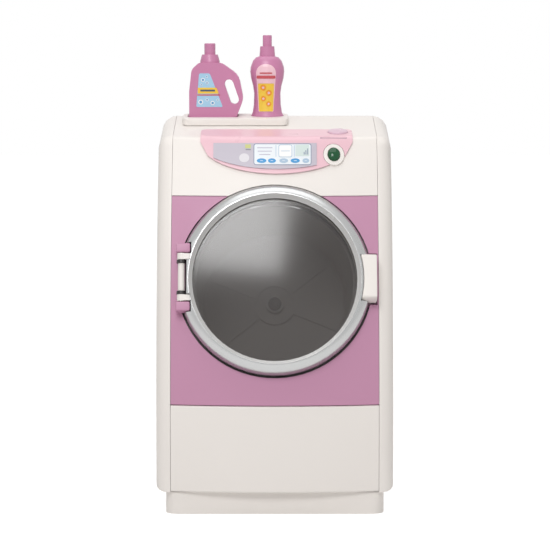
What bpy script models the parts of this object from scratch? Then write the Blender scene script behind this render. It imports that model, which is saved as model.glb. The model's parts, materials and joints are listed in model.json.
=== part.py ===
"""Toy front loading washing machine, an assembly of separate moulded and bought pieces.

Metres, +Z up. The front looks towards -Y and the machine stands on the XY plane, with the
origin under the middle of the drum opening. Run it with blender --background --python part.py
or from Blender's text editor.
"""
import math

import bmesh
import bpy
from mathutils import Euler, Matrix, Vector

MM = 0.001

# Clearances shared by all pieces
SEAT_GAP = 0.3 * MM
RUN_GAP = 0.6 * MM
CUT_OVERRUN = 2.0 * MM
MERGE_DISTANCE = 0.002 * MM

# Cabinet envelope
CABINET_WIDTH = 200.0 * MM
BACK_Y = 102.0 * MM
BELLY_Y = -83.0 * MM
CABINET_FLOOR = 19.0 * MM
WALL = 2.2 * MM
CHEEK_WIDTH = 12.4 * MM
CHEEK_RADIUS = 12.0 * MM
CHEEK_BOTTOM_SHARE = 0.42
CHEEK_BACK_SHARE = 0.3
CHEEK_CORNER_SHARE = 0.75
SEAM_X = CABINET_WIDTH / 2 - CHEEK_WIDTH
PANEL_X = SEAM_X - SEAT_GAP

# Door ring, as radii round the door axis and heights over the panel plane
RING_MARGIN = 6.6 * MM
RING_SLOPE_WIDTH = 8.0 * MM
RING_CREST_WIDTH = 0.6 * MM
RING_BEVEL_WIDTH = 2.5 * MM
RING_LIP_WIDTH = 0.6 * MM
RING_SEAT_WIDTH = 1.9 * MM
RING_SIDE_HEIGHT = 3.0 * MM
RING_CREST_HEIGHT = 14.0 * MM
RING_BEVEL_HEIGHT = 8.2 * MM
RING_LIP_HEIGHT = 7.5 * MM
RING_SEAT_HEIGHT = 5.9 * MM
RING_BACK = 5.5 * MM
RING_SINK = 0.3 * MM
BAY_INSET = 1.3 * MM
OPENING_GAP = 1.7 * MM
RING_RADIUS = SEAM_X - RING_MARGIN
RING_CREST_OUTER = RING_RADIUS - RING_SLOPE_WIDTH
RING_CREST_INNER = RING_CREST_OUTER - RING_CREST_WIDTH
RING_BEVEL_RADIUS = RING_CREST_INNER - RING_BEVEL_WIDTH
RING_BORE = RING_BEVEL_RADIUS - RING_LIP_WIDTH
RING_SEAT_RADIUS = RING_BORE + RING_SEAT_WIDTH
BAY_RADIUS = RING_CREST_OUTER + BAY_INSET
DOOR_CLEAR = RING_CREST_HEIGHT + CUT_OVERRUN

# Front surface: a leaning arc in side view, and a shallow bow in plan
PANEL_SLANT = math.radians(16.0)
FRAME_TURN = math.pi / 2 - PANEL_SLANT
DOOR_HEIGHT = 196.9 * MM
FRONT_ARC_RADIUS = 600.0 * MM
BOW_RADIUS = 540.0 * MM
EDGE_OVER_RING = 34.8 * MM
MAUVE_UNDER_RING_TOP = 12.8 * MM
MAUVE_BELOW_RING = 23.1 * MM
FRONT_EDGE_RADIUS = 6.0 * MM
PANEL_WALL = 2.4 * MM
FRONT_EDGE_HEIGHT = DOOR_HEIGHT + RING_RADIUS + EDGE_OVER_RING
MAUVE_TOP = DOOR_HEIGHT + RING_RADIUS - MAUVE_UNDER_RING_TOP
MAUVE_BOTTOM = DOOR_HEIGHT - RING_RADIUS - MAUVE_BELOW_RING
RING_SAGITTA = RING_RADIUS ** 2 / (2 * FRONT_ARC_RADIUS) + RING_SINK

# Top surface: a slope down to the front, a crest and a rounded back edge
TOP_SLOPE = math.radians(11.2)
CREST_TO_BACK = 38.0 * MM
CREST_RADIUS = 60.0 * MM
BACK_CORNER_RADIUS = 10.0 * MM
BACK_DROP = 14.0 * MM
SLOPE_END_Y = BACK_Y - CREST_TO_BACK

# Plinth
PLINTH_SIDE_INSET = 8.0 * MM
PLINTH_FRONT_INSET = 9.0 * MM
PLINTH_BACK_INSET = 6.0 * MM
PLINTH_CORNER_RADIUS = 10.0 * MM
PLINTH_WALL = 2.5 * MM
PLINTH_POST_RADIUS = 4.0 * MM
PLINTH_POST_INSET = 14.0 * MM
PLINTH_HALF_WIDTH = CABINET_WIDTH / 2 - PLINTH_SIDE_INSET
PLINTH_FRONT_Y = BELLY_Y + PLINTH_FRONT_INSET
PLINTH_BACK_Y = BACK_Y - PLINTH_BACK_INSET

# Lower panel
LOWER_RETURN = 13.0 * MM
LOWER_LIP = 4.0 * MM
LOWER_EDGE_RADIUS = 2.0 * MM

# Door window and its retainer
WINDOW_WALL = 1.6 * MM
WINDOW_RISE = 4.0 * MM
RETAINER_WIDTH = 2.5 * MM
RETAINER_DEPTH = 5.0 * MM

# Hinge on the left, along the panel, with its axis over the panel plane
HINGE_INSET = 2.75 * MM
HINGE_HEIGHT = 9.0 * MM
HINGE_PIN_RADIUS = 1.5 * MM
HINGE_CENTRE = 1.3 * MM
BLOCK_LENGTH = 8.0 * MM
BLOCK_INSIDE = 20.8 * MM
BLOCK_LEFT = 4.6 * MM
BLOCK_RIGHT = 7.6 * MM
BLOCK_FOOT = 2.0 * MM
BLOCK_ROUND = 1.5 * MM
BLOCK_ROOM = 0.8 * MM
KNUCKLE_RADIUS = 3.5 * MM
KNUCKLE_LENGTH = 5.4 * MM
ARM_REACH = 7.3 * MM
ARM_INSET = 0.3 * MM
WASHER_PROUD = 0.5 * MM
WASHER_LENGTH = 2.6 * MM
BARREL_STEP = 0.7 * MM
RING_FLAT_ROOM = 0.5 * MM
HINGE_WEB = 2.8 * MM
HINGE_X = HINGE_INSET - RING_RADIUS
WASHER_RADIUS = KNUCKLE_RADIUS + WASHER_PROUD
BARREL_RADIUS = KNUCKLE_RADIUS - BARREL_STEP
RING_FLAT = WASHER_RADIUS + RING_FLAT_ROOM

# Door handle on the right, its pocket, the latch and the catch
HANDLE_ROOM = 0.9 * MM
HANDLE_LOW = -18.8 * MM
HANDLE_HIGH = 19.8 * MM
HANDLE_PROUD = 1.5 * MM
HANDLE_BACK = 4.0 * MM
HANDLE_ROUND = 1.2 * MM
HANDLE_CHAMFER = 2.4 * MM
POCKET_UNDER = 1.7 * MM
POCKET_OVER = 3.6 * MM
POCKET_LAP = 2.5 * MM
POCKET_SIDE_WALL = 1.0 * MM
POCKET_WALL = 1.6 * MM
POCKET_FLOOR = 8.0 * MM
POCKET_JOIN = 2.0 * MM
LATCH_INSET = 5.0 * MM
LATCH_HALF_THICK = 0.9 * MM
LATCH_HALF_WIDTH = 5.0 * MM
LATCH_LENGTH = 9.5 * MM
LATCH_SLOT_ROOM = 2.6 * MM
CATCH_JAW = 1.6 * MM
CATCH_JAW_DEPTH = 4.5 * MM
HANDLE_RIGHT = PANEL_X - POCKET_SIDE_WALL - HANDLE_ROOM
HANDLE_FRONT = RING_CREST_HEIGHT + HANDLE_PROUD
HANDLE_MIDDLE = (HANDLE_LOW + HANDLE_HIGH) / 2
POCKET_LOW = HANDLE_LOW - POCKET_UNDER
POCKET_HIGH = HANDLE_HIGH + POCKET_OVER
POCKET_LEFT = RING_RADIUS - POCKET_LAP
LATCH_X = HANDLE_RIGHT - LATCH_INSET

# Collar behind the door
COLLAR_LAP = 5.0 * MM
COLLAR_MOUTH_INSET = 5.8 * MM
COLLAR_THROAT_INSET = 11.4 * MM
COLLAR_WALL = 2.0 * MM
COLLAR_RIM_HEIGHT = 2.2 * MM
COLLAR_DEPTH = 11.0 * MM
COLLAR_FLANGE_RADIUS = RING_RADIUS + COLLAR_LAP
COLLAR_MOUTH = RING_RADIUS - COLLAR_MOUTH_INSET
COLLAR_THROAT = RING_RADIUS - COLLAR_THROAT_INSET

# Drum, its shaft and the plate that carries them, as depths behind the panel plane
DRUM_FRONT = 20.5 * MM
DRUM_TAIL = 34.5 * MM
DRUM_TAPER = 3.0 * MM
DRUM_WALL = 2.0 * MM
DRUM_EDGE_RADIUS = 6.0 * MM
HUB_BOSS_RADIUS = 8.0 * MM
HUB_BOSS_HEIGHT = 3.5 * MM
HUB_BOSS_BACK = 2.2 * MM
HUB_RING_RADIUS = 18.6 * MM
HUB_RING_WALL = 2.2 * MM
HUB_RING_HEIGHT = 2.5 * MM
RIB_WIDTH = 4.0 * MM
RIB_HEIGHT = 1.7 * MM
RIB_COUNT = 6
RIB_START = math.radians(38.0)
SHAFT_RADIUS = 3.0 * MM
SHAFT_NOSE = 1.8 * MM
CLIP_RADIUS = 6.0 * MM
CLIP_THICK = 1.0 * MM
BUSH_WALL = 4.6 * MM
BUSH_FLANGE = 3.0 * MM
BUSH_FLANGE_THICK = 1.2 * MM
CARRIER_WALL = 3.0 * MM
CARRIER_LOW = -58.0 * MM
CARRIER_HIGH = 28.0 * MM
CARRIER_RIB = 6.0 * MM
CARRIER_RIB_INSET = 4.0 * MM
DRUM_RADIUS = COLLAR_THROAT - RUN_GAP
DRUM_BACK_RADIUS = DRUM_RADIUS - DRUM_TAPER

# Gear train
GEAR_MODULE = 0.8 * MM
GEAR_BACKLASH = 0.3 * MM
DRUM_TEETH = 48
IDLER_SMALL_TEETH = 12
IDLER_LARGE_TEETH = 36
PINION_TEETH = 10
PRESSURE_ANGLE = math.radians(20.0)
ADDENDUM_SHARE = 0.8
DEDENDUM_SHARE = 1.15
GEAR_THICK = 4.0 * MM
GEAR_STEP = 1.0 * MM
IDLER_PIN_RADIUS = 1.5 * MM
MOTOR_SHAFT_RADIUS = 1.0 * MM

# Gearbox case and motor
CASE_WALL = 2.0 * MM
CASE_CLEAR = 2.2 * MM
CASE_CORNER_RADIUS = 5.0 * MM
CASE_END_ROOM = 1.7 * MM
CASE_TAIL = 11.0 * MM
PIN_SEAT_DEPTH = 1.2 * MM
MOTOR_RADIUS = 12.2 * MM
MOTOR_LENGTH = 12.0 * MM
MOTOR_BOSS_RADIUS = 5.2 * MM
MOTOR_BORE_DEPTH = 5.0 * MM
MOTOR_ROUND = 1.0 * MM
CASE_ROOM = 2 * GEAR_THICK + 2 * GEAR_STEP + CASE_END_ROOM

# Pink control console and its display label
CONSOLE_CENTRE_X = 1.5 * MM
CONSOLE_MARGIN = 22.6 * MM
CONSOLE_SIDE_DROP = 2.8 * MM
CONSOLE_DROP = 26.0 * MM
CONSOLE_RUN = 27.8 * MM
CONSOLE_WALL = 1.5 * MM
CONSOLE_CORNER_RADIUS = 6.0 * MM
LABEL_SPREAD = 1.0 * MM
LABEL_LEFT_INSET = 11.2 * MM
LABEL_RIGHT_INSET = 30.8 * MM
LABEL_DROP = 22.0 * MM
LABEL_TOP_DROP = 3.1 * MM
LABEL_WALL = 0.5 * MM
CONSOLE_HALF_WIDTH = SEAM_X - CONSOLE_MARGIN
CONSOLE_LEFT = CONSOLE_CENTRE_X - CONSOLE_HALF_WIDTH
CONSOLE_RIGHT = CONSOLE_CENTRE_X + CONSOLE_HALF_WIDTH
CONSOLE_SIDE_HEIGHT = FRONT_EDGE_HEIGHT - CONSOLE_SIDE_DROP
LABEL_HALF_WIDTH = CONSOLE_HALF_WIDTH + LABEL_SPREAD
LABEL_LEFT = CONSOLE_LEFT + LABEL_LEFT_INSET
LABEL_RIGHT = CONSOLE_RIGHT - LABEL_RIGHT_INSET
LABEL_TOP = FRONT_EDGE_HEIGHT - LABEL_TOP_DROP

# Lamp on the front and the part of the circuit behind the slope
LAMP_INSET = 16.3 * MM
LAMP_DROP = 13.9 * MM
LAMP_HALF_WIDTH = 5.3 * MM
LAMP_HALF_HEIGHT = 6.2 * MM
LAMP_DOME = 2.6 * MM
LAMP_SEAT_DEPTH = 2.0 * MM
LAMP_BOSS_WIDTH = 3.7 * MM
LAMP_BOSS_HEIGHT = 2.0 * MM
LAMP_BOSS_DEPTH = 5.0 * MM
LED_RADIUS = 4.0 * MM
LED_LENGTH = 8.0 * MM
BUTTON_INSET = 12.3 * MM
BUTTON_RUN = 17.8 * MM
BUTTON_RADIUS = 8.8 * MM
BUTTON_RISE = 2.0 * MM
BUTTON_DOME = 0.8 * MM
BUTTON_STEM_RADIUS = 2.6 * MM
BUTTON_SKIRT_WIDTH = 1.6 * MM
BUTTON_SKIRT_THICK = 1.2 * MM
BUTTON_STEM_LENGTH = 4.1 * MM
BUTTON_TRAVEL = 2.0 * MM
SWITCH_SIZE = 6.0 * MM
SWITCH_HEIGHT = 3.4 * MM
SWITCH_ROOM = 0.5 * MM
BOARD_WIDTH = 62.0 * MM
BOARD_RIGHT_ROOM = 15.8 * MM
BOARD_LENGTH = 32.0 * MM
BOARD_FRONT_ROOM = 10.0 * MM
BOARD_WALL = 1.6 * MM
POST_RADIUS = 2.4 * MM
POST_INSET = 4.0 * MM
LAMP_X = CONSOLE_RIGHT - LAMP_INSET
LAMP_HEIGHT = FRONT_EDGE_HEIGHT - LAMP_DROP
BUTTON_X = CONSOLE_RIGHT - BUTTON_INSET
BUTTON_PLACE = (BUTTON_X, BUTTON_RUN)
BUTTON_SKIRT_DEPTH = PANEL_WALL + SEAT_GAP
BUTTON_STEM_END = BUTTON_SKIRT_DEPTH + BUTTON_SKIRT_THICK + BUTTON_STEM_LENGTH
BOARD_DEPTH = BUTTON_STEM_END + BUTTON_TRAVEL + SWITCH_ROOM + SWITCH_HEIGHT
BOARD_RIGHT = BUTTON_X + BOARD_RIGHT_ROOM
BOARD_LEFT = BOARD_RIGHT - BOARD_WIDTH
BOARD_START = BUTTON_RUN - BOARD_FRONT_ROOM
BOARD_END = BOARD_START + BOARD_LENGTH

# Bottle tray on the slope
TRAY_SIDE_INSET = 6.5 * MM
TRAY_WIDTH = 92.8 * MM
TRAY_FRONT_TO_BACK = 69.3 * MM
TRAY_DEPTH = 33.0 * MM
TRAY_RISE = 6.8 * MM
TRAY_SLOPE = math.radians(5.9)
TRAY_CORNER_RADIUS = 5.0 * MM
TRAY_ROUND = 1.0 * MM
TRAY_POCKET_DEPTH = 0.6 * MM
TRAY_POCKET_INSET = 8.5 * MM
TRAY_POCKET_RADIUS = 2.0 * MM
TRAY_LEFT = TRAY_SIDE_INSET - SEAM_X
TRAY_RIGHT = TRAY_LEFT + TRAY_WIDTH
TRAY_FRONT_Y = BACK_Y - TRAY_FRONT_TO_BACK

# Jug bottle, from its middle out and from its foot up
JUG_PLACE = 24.0 * MM
JUG_LEFT = 18.1 * MM
JUG_RIGHT = 29.6 * MM
JUG_HEIGHT = 47.8 * MM
JUG_THICK = 20.0 * MM
JUG_ROUND = 4.0 * MM
JUG_FOOT_ROUND = 4.6 * MM
JUG_FOOT = 0.9 * MM
JUG_FOOT_HEIGHT = 1.4 * MM
JUG_NECK_RADIUS = 8.6 * MM
JUG_NECK_TOP_RADIUS = 7.0 * MM
JUG_NECK_HEIGHT = 55.0 * MM
JUG_CAP_RADIUS = 4.9 * MM
JUG_CAP_HEIGHT = 64.8 * MM
JUG_SLOT_LENGTH = 22.4 * MM
JUG_SLOT_WIDTH = 7.8 * MM
JUG_SLOT_X = 19.3 * MM
JUG_SLOT_Z = 22.5 * MM
JUG_SLOT_TURN = math.radians(-71.0)
JUG_BASE_SHARE = 0.8
JUG_BELLY_SHARES = (1.0, 0.34)
JUG_BACK_SHARES = (0.86, 0.78)
JUG_SHOULDER_SHARES = (0.88, 0.88)
JUG_FLANK_SHARE = 0.48
JUG_NECK_SHARES = (1.2, 1.1)
JUG_X = TRAY_LEFT + JUG_PLACE

# Softener bottle
SOFTENER_PLACE = 18.3 * MM
SOFTENER_FLAT_SHARE = 0.68
SOFTENER_FOOT_RADIUS = 14.3 * MM
SOFTENER_FLARE_RADIUS = 12.9 * MM
SOFTENER_BASE_RADIUS = 11.9 * MM
SOFTENER_WAIST_RADIUS = 11.6 * MM
SOFTENER_SHOULDER_RADIUS = 15.0 * MM
SOFTENER_NECK_RADIUS = 6.9 * MM
SOFTENER_NECK_TOP_RADIUS = 6.2 * MM
SOFTENER_CAP_RADIUS = 4.0 * MM
SOFTENER_FOOT_HEIGHT = 1.2 * MM
SOFTENER_FLARE_HEIGHT = 4.6 * MM
SOFTENER_BASE_HEIGHT = 11.0 * MM
SOFTENER_WAIST_HEIGHT = 21.0 * MM
SOFTENER_SHOULDER_HEIGHT = 40.0 * MM
SOFTENER_NECK_HEIGHT = 53.5 * MM
SOFTENER_NECK_TOP = 62.2 * MM
SOFTENER_HEIGHT = 71.9 * MM
SOFTENER_TOP_SHARES = (0.25, 0.5, 0.8)
SOFTENER_FLANK_SHARES = (0.3, 0.65)
SOFTENER_X = TRAY_RIGHT - SOFTENER_PLACE

# Cap of both bottles: how far its top edge is rounded, against its radius
CAP_TOP_SHARE = 0.9
CAP_EDGE_SHARE = 0.12

# Rear panel and what it carries
REAR_INSET = 0.2 * MM
REAR_SCREW_SIDE = 8.0 * MM
REAR_SCREW_LIFT = 15.0 * MM
REAR_SCREW_DROP = 20.0 * MM
SCREW_HEAD_RADIUS = 3.2 * MM
SCREW_HEAD_HEIGHT = 1.4 * MM
SCREW_SHANK_RADIUS = 1.4 * MM
SCREW_LENGTH = 9.0 * MM
SCREW_BOSS_RADIUS = 3.6 * MM
VENT_COUNT = 5
VENT_WIDTH = 46.0 * MM
VENT_HEIGHT = 3.0 * MM
VENT_PITCH = 9.0 * MM
VENT_LIFT = 11.0 * MM
BATTERY_RADIUS = 7.2 * MM
BATTERY_LENGTH = 50.0 * MM
BATTERY_COUNT = 3
BATTERY_SPACE = 0.8 * MM
BATTERY_CAP_RADIUS = 2.7 * MM
BATTERY_CAP_HEIGHT = 1.2 * MM
BATTERY_BOX_WALL = 1.8 * MM
BATTERY_BOX_LIFT = 13.0 * MM
BATTERY_BOX_SIDE = 12.4 * MM
BATTERY_BACK_ROOM = 1.1 * MM
BATTERY_LEDGE = 10.0 * MM
BATTERY_DOOR_ROUND = 0.4 * MM
DOOR_SCREW_LENGTH = 7.0 * MM
SWITCH_BODY_WIDTH = 20.0 * MM
SWITCH_BODY_HEIGHT = 9.0 * MM
SWITCH_BODY_DEPTH = 7.0 * MM
SWITCH_LIFT = 24.4 * MM
KNOB_WIDTH = 4.0 * MM
KNOB_HEIGHT = 3.4 * MM
KNOB_PROUD = 1.8 * MM
KNOB_TRAVEL = 4.0 * MM
KNOB_ROOT = 1.5 * MM
KNOB_ROUND = 0.3 * MM
REAR_SCREW_X = PANEL_X - REAR_SCREW_SIDE
REAR_SCREW_LOW = CABINET_FLOOR + REAR_SCREW_LIFT
VENT_LOW = DOOR_HEIGHT + VENT_LIFT
BATTERY_PITCH = 2 * BATTERY_RADIUS + BATTERY_SPACE
BATTERY_BOX_LOW = CABINET_FLOOR + BATTERY_BOX_LIFT
BATTERY_BOX_DEPTH = BATTERY_BOX_WALL + SEAT_GAP + 2 * BATTERY_RADIUS + BATTERY_BACK_ROOM
BATTERY_BOX_HALF = BATTERY_PITCH * BATTERY_COUNT / 2 + BATTERY_BOX_WALL + SEAT_GAP
BATTERY_BOX_HEIGHT = BATTERY_LENGTH + BATTERY_CAP_HEIGHT + BATTERY_BOX_WALL + BATTERY_LEDGE + 2 * SEAT_GAP
BATTERY_X = PANEL_X - BATTERY_BOX_HALF - BATTERY_BOX_SIDE
SWITCH_CENTRE_Z = BATTERY_BOX_LOW + BATTERY_BOX_HEIGHT + SWITCH_LIFT

# Segment counts
RING_STEPS = 64
DRUM_STEPS = 40
ROUND_STEPS = 20
SMALL_STEPS = 12
PANEL_COLUMNS = 8
PANEL_ROWS = 8
ARC_ROWS = 5
CORNER_STEPS = 3

# Angles over which an edge counts as sharp
SMOOTH_ANGLE = math.radians(35)
BEVEL_ANGLE = math.radians(40)
TRAY_BEVEL_ANGLE = math.radians(60)


def front_lean(height):
    """Angle between the front surface and the vertical at a height."""
    return math.asin(math.sin(PANEL_SLANT) + (height - DOOR_HEIGHT) / FRONT_ARC_RADIUS)


def front_y(height, x=0):
    """Depth of the front surface at a height and a distance from the middle."""
    arc = FRONT_ARC_RADIUS * (1 - math.cos(front_lean(height)))
    return BELLY_Y + arc + x * x / (2 * BOW_RADIUS)


EDGE_Y = front_y(FRONT_EDGE_HEIGHT)
DOOR_CENTRE = Vector((
    0,
    front_y(DOOR_HEIGHT) + RING_SAGITTA * math.cos(PANEL_SLANT),
    DOOR_HEIGHT - RING_SAGITTA * math.sin(PANEL_SLANT),
))
DRUM_BACK = (BACK_Y - DOOR_CENTRE.y) / math.cos(PANEL_SLANT) - DRUM_TAIL


def slope_height(y):
    """Height of the sloping top at a depth."""
    return FRONT_EDGE_HEIGHT + (y - EDGE_Y) * math.tan(TOP_SLOPE)


def edge_corner(x):
    """Where the bowed front meets the sloping top."""
    height = FRONT_EDGE_HEIGHT
    for _ in range(ROUND_STEPS):
        height = slope_height(front_y(height, x))
    return front_y(height, x), height


CREST_END_Y = SLOPE_END_Y + CREST_RADIUS * math.sin(TOP_SLOPE)
CREST_HEIGHT = slope_height(SLOPE_END_Y) + CREST_RADIUS * (1 - math.cos(TOP_SLOPE))


def rounded_path(corners, steps):
    """Points of a path whose corners (y, z, radius) are replaced by arcs."""
    points = []
    for index, (y, z, radius) in enumerate(corners):
        here = Vector((y, z))
        if not radius:
            points.append(here)
            continue
        before = (Vector(corners[index - 1][:2]) - here).normalized()
        after = (Vector(corners[(index + 1) % len(corners)][:2]) - here).normalized()
        half = before.angle(after) / 2
        centre = here + (before + after).normalized() * (radius / math.sin(half))
        first = here + before * (radius / math.tan(half)) - centre
        last = here + after * (radius / math.tan(half)) - centre
        sweep = first.angle_signed(last)
        for step in range(steps + 1):
            turn = -sweep * step / steps
            points.append(centre + Matrix.Rotation(turn, 2) @ first)
    return points


def front_arc(low, high, rows, x=0):
    """Sharp corners up the front surface between two heights."""
    heights = [low + (high - low) * row / rows for row in range(rows + 1)]
    return [(front_y(height, x), height, 0) for height in heights]


def crest_arc(steps):
    """Sharp corners over the crest, from the end of the slope to the flat."""
    corners = []
    for step in range(steps + 1):
        angle = TOP_SLOPE * (1 - step / steps)
        y = CREST_END_Y - CREST_RADIUS * math.sin(angle)
        z = CREST_HEIGHT - CREST_RADIUS * (1 - math.cos(angle))
        corners.append((y, z, 0))
    return corners


def clear_scene():
    """Remove what the scene holds."""
    for item in list(bpy.data.objects):
        bpy.data.objects.remove(item, do_unlink=True)
    for group in list(bpy.data.collections):
        bpy.data.collections.remove(group)


clear_scene()
PARTS = bpy.data.collections.new("toy_washing_machine")
CUTTERS = bpy.data.collections.new("cutters")
bpy.context.scene.collection.children.link(PARTS)
bpy.context.scene.collection.children.link(CUTTERS)


def make_frame(name, location, rotation=(0, 0, 0)):
    """An empty that carries pieces."""
    frame = bpy.data.objects.new(name, None)
    frame.empty_display_size = CHEEK_WIDTH
    frame.location = location
    frame.rotation_euler = rotation
    PARTS.objects.link(frame)
    return frame


def surface_frame(name, x, height):
    """An empty on the front surface, its Z out of the surface and its Y up along it."""
    outward = Vector((x / BOW_RADIUS, -1, math.tan(front_lean(height)))).normalized()
    across = Vector((1, x / BOW_RADIUS, 0)).normalized()
    upward = outward.cross(across)
    turn = Matrix((across, upward, outward)).transposed().to_euler()
    return make_frame(name, (x, front_y(height, x), height), turn)


DOOR_PLANE = make_frame("door_plane", DOOR_CENTRE, (FRAME_TURN, 0, 0))
DRUM_AXIS = make_frame("drum_axis", DOOR_CENTRE, (FRAME_TURN, 0, 0))
SLOPE_PLANE = make_frame("slope_plane", (0, EDGE_Y, FRONT_EDGE_HEIGHT), (TOP_SLOPE, 0, 0))
LAMP_PLANE = surface_frame("lamp_plane", LAMP_X, LAMP_HEIGHT)
HINGE_OFFSET = Vector((HINGE_X, HINGE_CENTRE, HINGE_HEIGHT))
TURN_TO_PANEL = Euler((FRAME_TURN, 0, 0)).to_matrix()
HINGE_AXIS = make_frame(
    "hinge_axis", DOOR_CENTRE + TURN_TO_PANEL @ HINGE_OFFSET, (FRAME_TURN, 0, 0)
)


def make_material(name, colour, roughness, metallic=0.0, alpha=1.0):
    """A Principled material from an sRGB colour given as a hex number."""
    channels = [channel / 255 for channel in colour.to_bytes(3, "big")]
    linear = [c / 12.92 if c <= 0.04045 else ((c + 0.055) / 1.055) ** 2.4 for c in channels]
    material = bpy.data.materials.new(name)
    material.use_nodes = True
    shader = material.node_tree.nodes["Principled BSDF"]
    shader.inputs["Base Color"].default_value = (*linear, 1)
    shader.inputs["Roughness"].default_value = roughness
    shader.inputs["Metallic"].default_value = metallic
    shader.inputs["Alpha"].default_value = alpha
    material.diffuse_color = (*linear, alpha)
    return material


WHITE_ABS = ("white", 0xF3EFEA, 0.35)
MAUVE_ABS = ("mauve", 0xC488AD, 0.4)
PINK_ABS = ("pink", 0xF2CBD5, 0.35)
BOTTLE_PLASTIC = ("bottle_pink", 0xD184AC, 0.35)
SILVER_PLATE = ("silver", 0xC2C2C0, 0.3, 0.6)
SMOKE_CLEAR = ("smoke", 0x6A625F, 0.08, 0.0, 0.45)
GREY_ABS = ("grey", 0x8A8683, 0.5)
DRUM_GREY = ("drum_grey", 0xA8A19D, 0.45)
BLACK_RUBBER = ("black", 0x1C1718, 0.6)
STEEL = ("steel", 0xB4B4B2, 0.3, 1.0)
NYLON = ("nylon", 0xE9E4D6, 0.45)
BOARD_GREEN = ("board", 0x2F6B43, 0.5)
LABEL_GREY = ("label", 0xC3C1C6, 0.3)
LAMP_GREEN = ("lamp", 0x0A4A26, 0.1)
CELL_GREY = ("cell", 0x3D4247, 0.35, 0.4)


def finish(item, name, look, carrier=None, offset=(0, 0, 0)):
    """Name a piece, give it its material and hang it on its carrier."""
    item.name = name
    item.data.name = name
    item.data.materials.clear()
    item.data.materials.append(make_material(name, *look[1:]))
    item.data.shade_smooth()
    item.data.set_sharp_from_angle(angle=SMOOTH_ANGLE)
    for group in list(item.users_collection):
        group.objects.unlink(item)
    PARTS.objects.link(item)
    if carrier:
        item.parent = carrier
    item.location = offset
    return item


def as_cutter(item, name, carrier=None, offset=(0, 0, 0)):
    """Name a cutter and hide it."""
    item.name = name
    item.hide_render = True
    item.display_type = "WIRE"
    for group in list(item.users_collection):
        group.objects.unlink(item)
    CUTTERS.objects.link(item)
    if carrier:
        item.parent = carrier
    item.location = offset
    return item


def combine(item, other, operation):
    """Boolean modifier with another object, which stays live."""
    modifier = item.modifiers.new(f"{operation.lower()}_{other.name}", "BOOLEAN")
    modifier.operation = operation
    modifier.object = other
    modifier.solver = "EXACT"
    return item


def mesh_object(name, bm):
    """An object from a bmesh."""
    mesh = bpy.data.meshes.new(name)
    bm.to_mesh(mesh)
    bm.free()
    item = bpy.data.objects.new(name, mesh)
    PARTS.objects.link(item)
    return item


def box(name, low, high, rounding=0, segments=2):
    """A box between two corners, with its edges rounded on request."""
    bm = bmesh.new()
    bmesh.ops.create_cube(bm, size=1)
    size = Vector(high) - Vector(low)
    middle = (Vector(high) + Vector(low)) / 2
    bmesh.ops.scale(bm, vec=size, verts=bm.verts)
    bmesh.ops.translate(bm, vec=middle, verts=bm.verts)
    item = mesh_object(name, bm)
    if rounding:
        add_bevel(item, rounding, segments)
    return item


def add_bevel(item, width, segments=2, angle=BEVEL_ANGLE):
    """Round the sharp edges of a piece."""
    modifier = item.modifiers.new("rounded_edges", "BEVEL")
    modifier.width = width
    modifier.segments = segments
    modifier.limit_method = "ANGLE"
    modifier.angle_limit = angle
    modifier.miter_outer = "MITER_SHARP"
    return item


def rod(name, radius, low, high, steps=ROUND_STEPS, centre=(0, 0), axis="Z"):
    """A cylinder between two heights of an axis."""
    bm = bmesh.new()
    bmesh.ops.create_cone(
        bm, cap_ends=True, segments=steps, radius1=radius, radius2=radius, depth=high - low
    )
    bmesh.ops.translate(bm, vec=(centre[0], centre[1], (low + high) / 2), verts=bm.verts)
    if axis == "Y":
        bmesh.ops.rotate(bm, matrix=Matrix.Rotation(-math.pi / 2, 3, "X"), verts=bm.verts)
    return mesh_object(name, bm)


def turned(name, profile, steps, closed=False):
    """A turned piece from a profile of (radius, height) that runs down its outer side."""
    bm = bmesh.new()
    verts = [bm.verts.new((radius, 0, height)) for radius, height in profile]
    for first, second in zip(verts, verts[1:]):
        bm.edges.new((first, second))
    if closed:
        bm.edges.new((verts[-1], verts[0]))
    item = mesh_object(name, bm)
    screw = item.modifiers.new("turn", "SCREW")
    screw.axis = "Z"
    screw.steps = steps
    screw.render_steps = steps
    screw.use_merge_vertices = True
    screw.merge_threshold = MERGE_DISTANCE
    screw.use_smooth_shade = True
    return item


def plate(name, outlines, low, high):
    """A flat piece: filled outlines, of which the inner ones are holes, between two heights."""
    curve = bpy.data.curves.new(name, "CURVE")
    curve.dimensions = "2D"
    curve.fill_mode = "BOTH"
    curve.extrude = (high - low) / 2
    for outline in outlines:
        spline = curve.splines.new("POLY")
        spline.points.add(len(outline) - 1)
        for point, (x, y) in zip(spline.points, outline):
            point.co = (x, y, 0, 1)
        spline.use_cyclic_u = True
    guide = bpy.data.objects.new(name, curve)
    PARTS.objects.link(guide)
    bpy.context.view_layer.update()
    evaluated = guide.evaluated_get(bpy.context.evaluated_depsgraph_get())
    mesh = bpy.data.meshes.new_from_object(evaluated)
    bm = bmesh.new()
    bm.from_mesh(mesh)
    bmesh.ops.remove_doubles(bm, verts=bm.verts, dist=MERGE_DISTANCE)
    bmesh.ops.translate(bm, vec=(0, 0, (low + high) / 2), verts=bm.verts)
    bmesh.ops.recalc_face_normals(bm, faces=bm.faces)
    bpy.data.objects.remove(guide)
    bpy.data.meshes.remove(mesh)
    return mesh_object(name, bm)


def circle(radius, steps, centre=(0, 0), stretch=1.0):
    """Points round a circle, or an ellipse that is stretched along its second axis."""
    turns = [2 * math.pi * step / steps for step in range(steps)]
    return [
        (centre[0] + radius * math.cos(a), centre[1] + radius * stretch * math.sin(a))
        for a in turns
    ]


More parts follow.
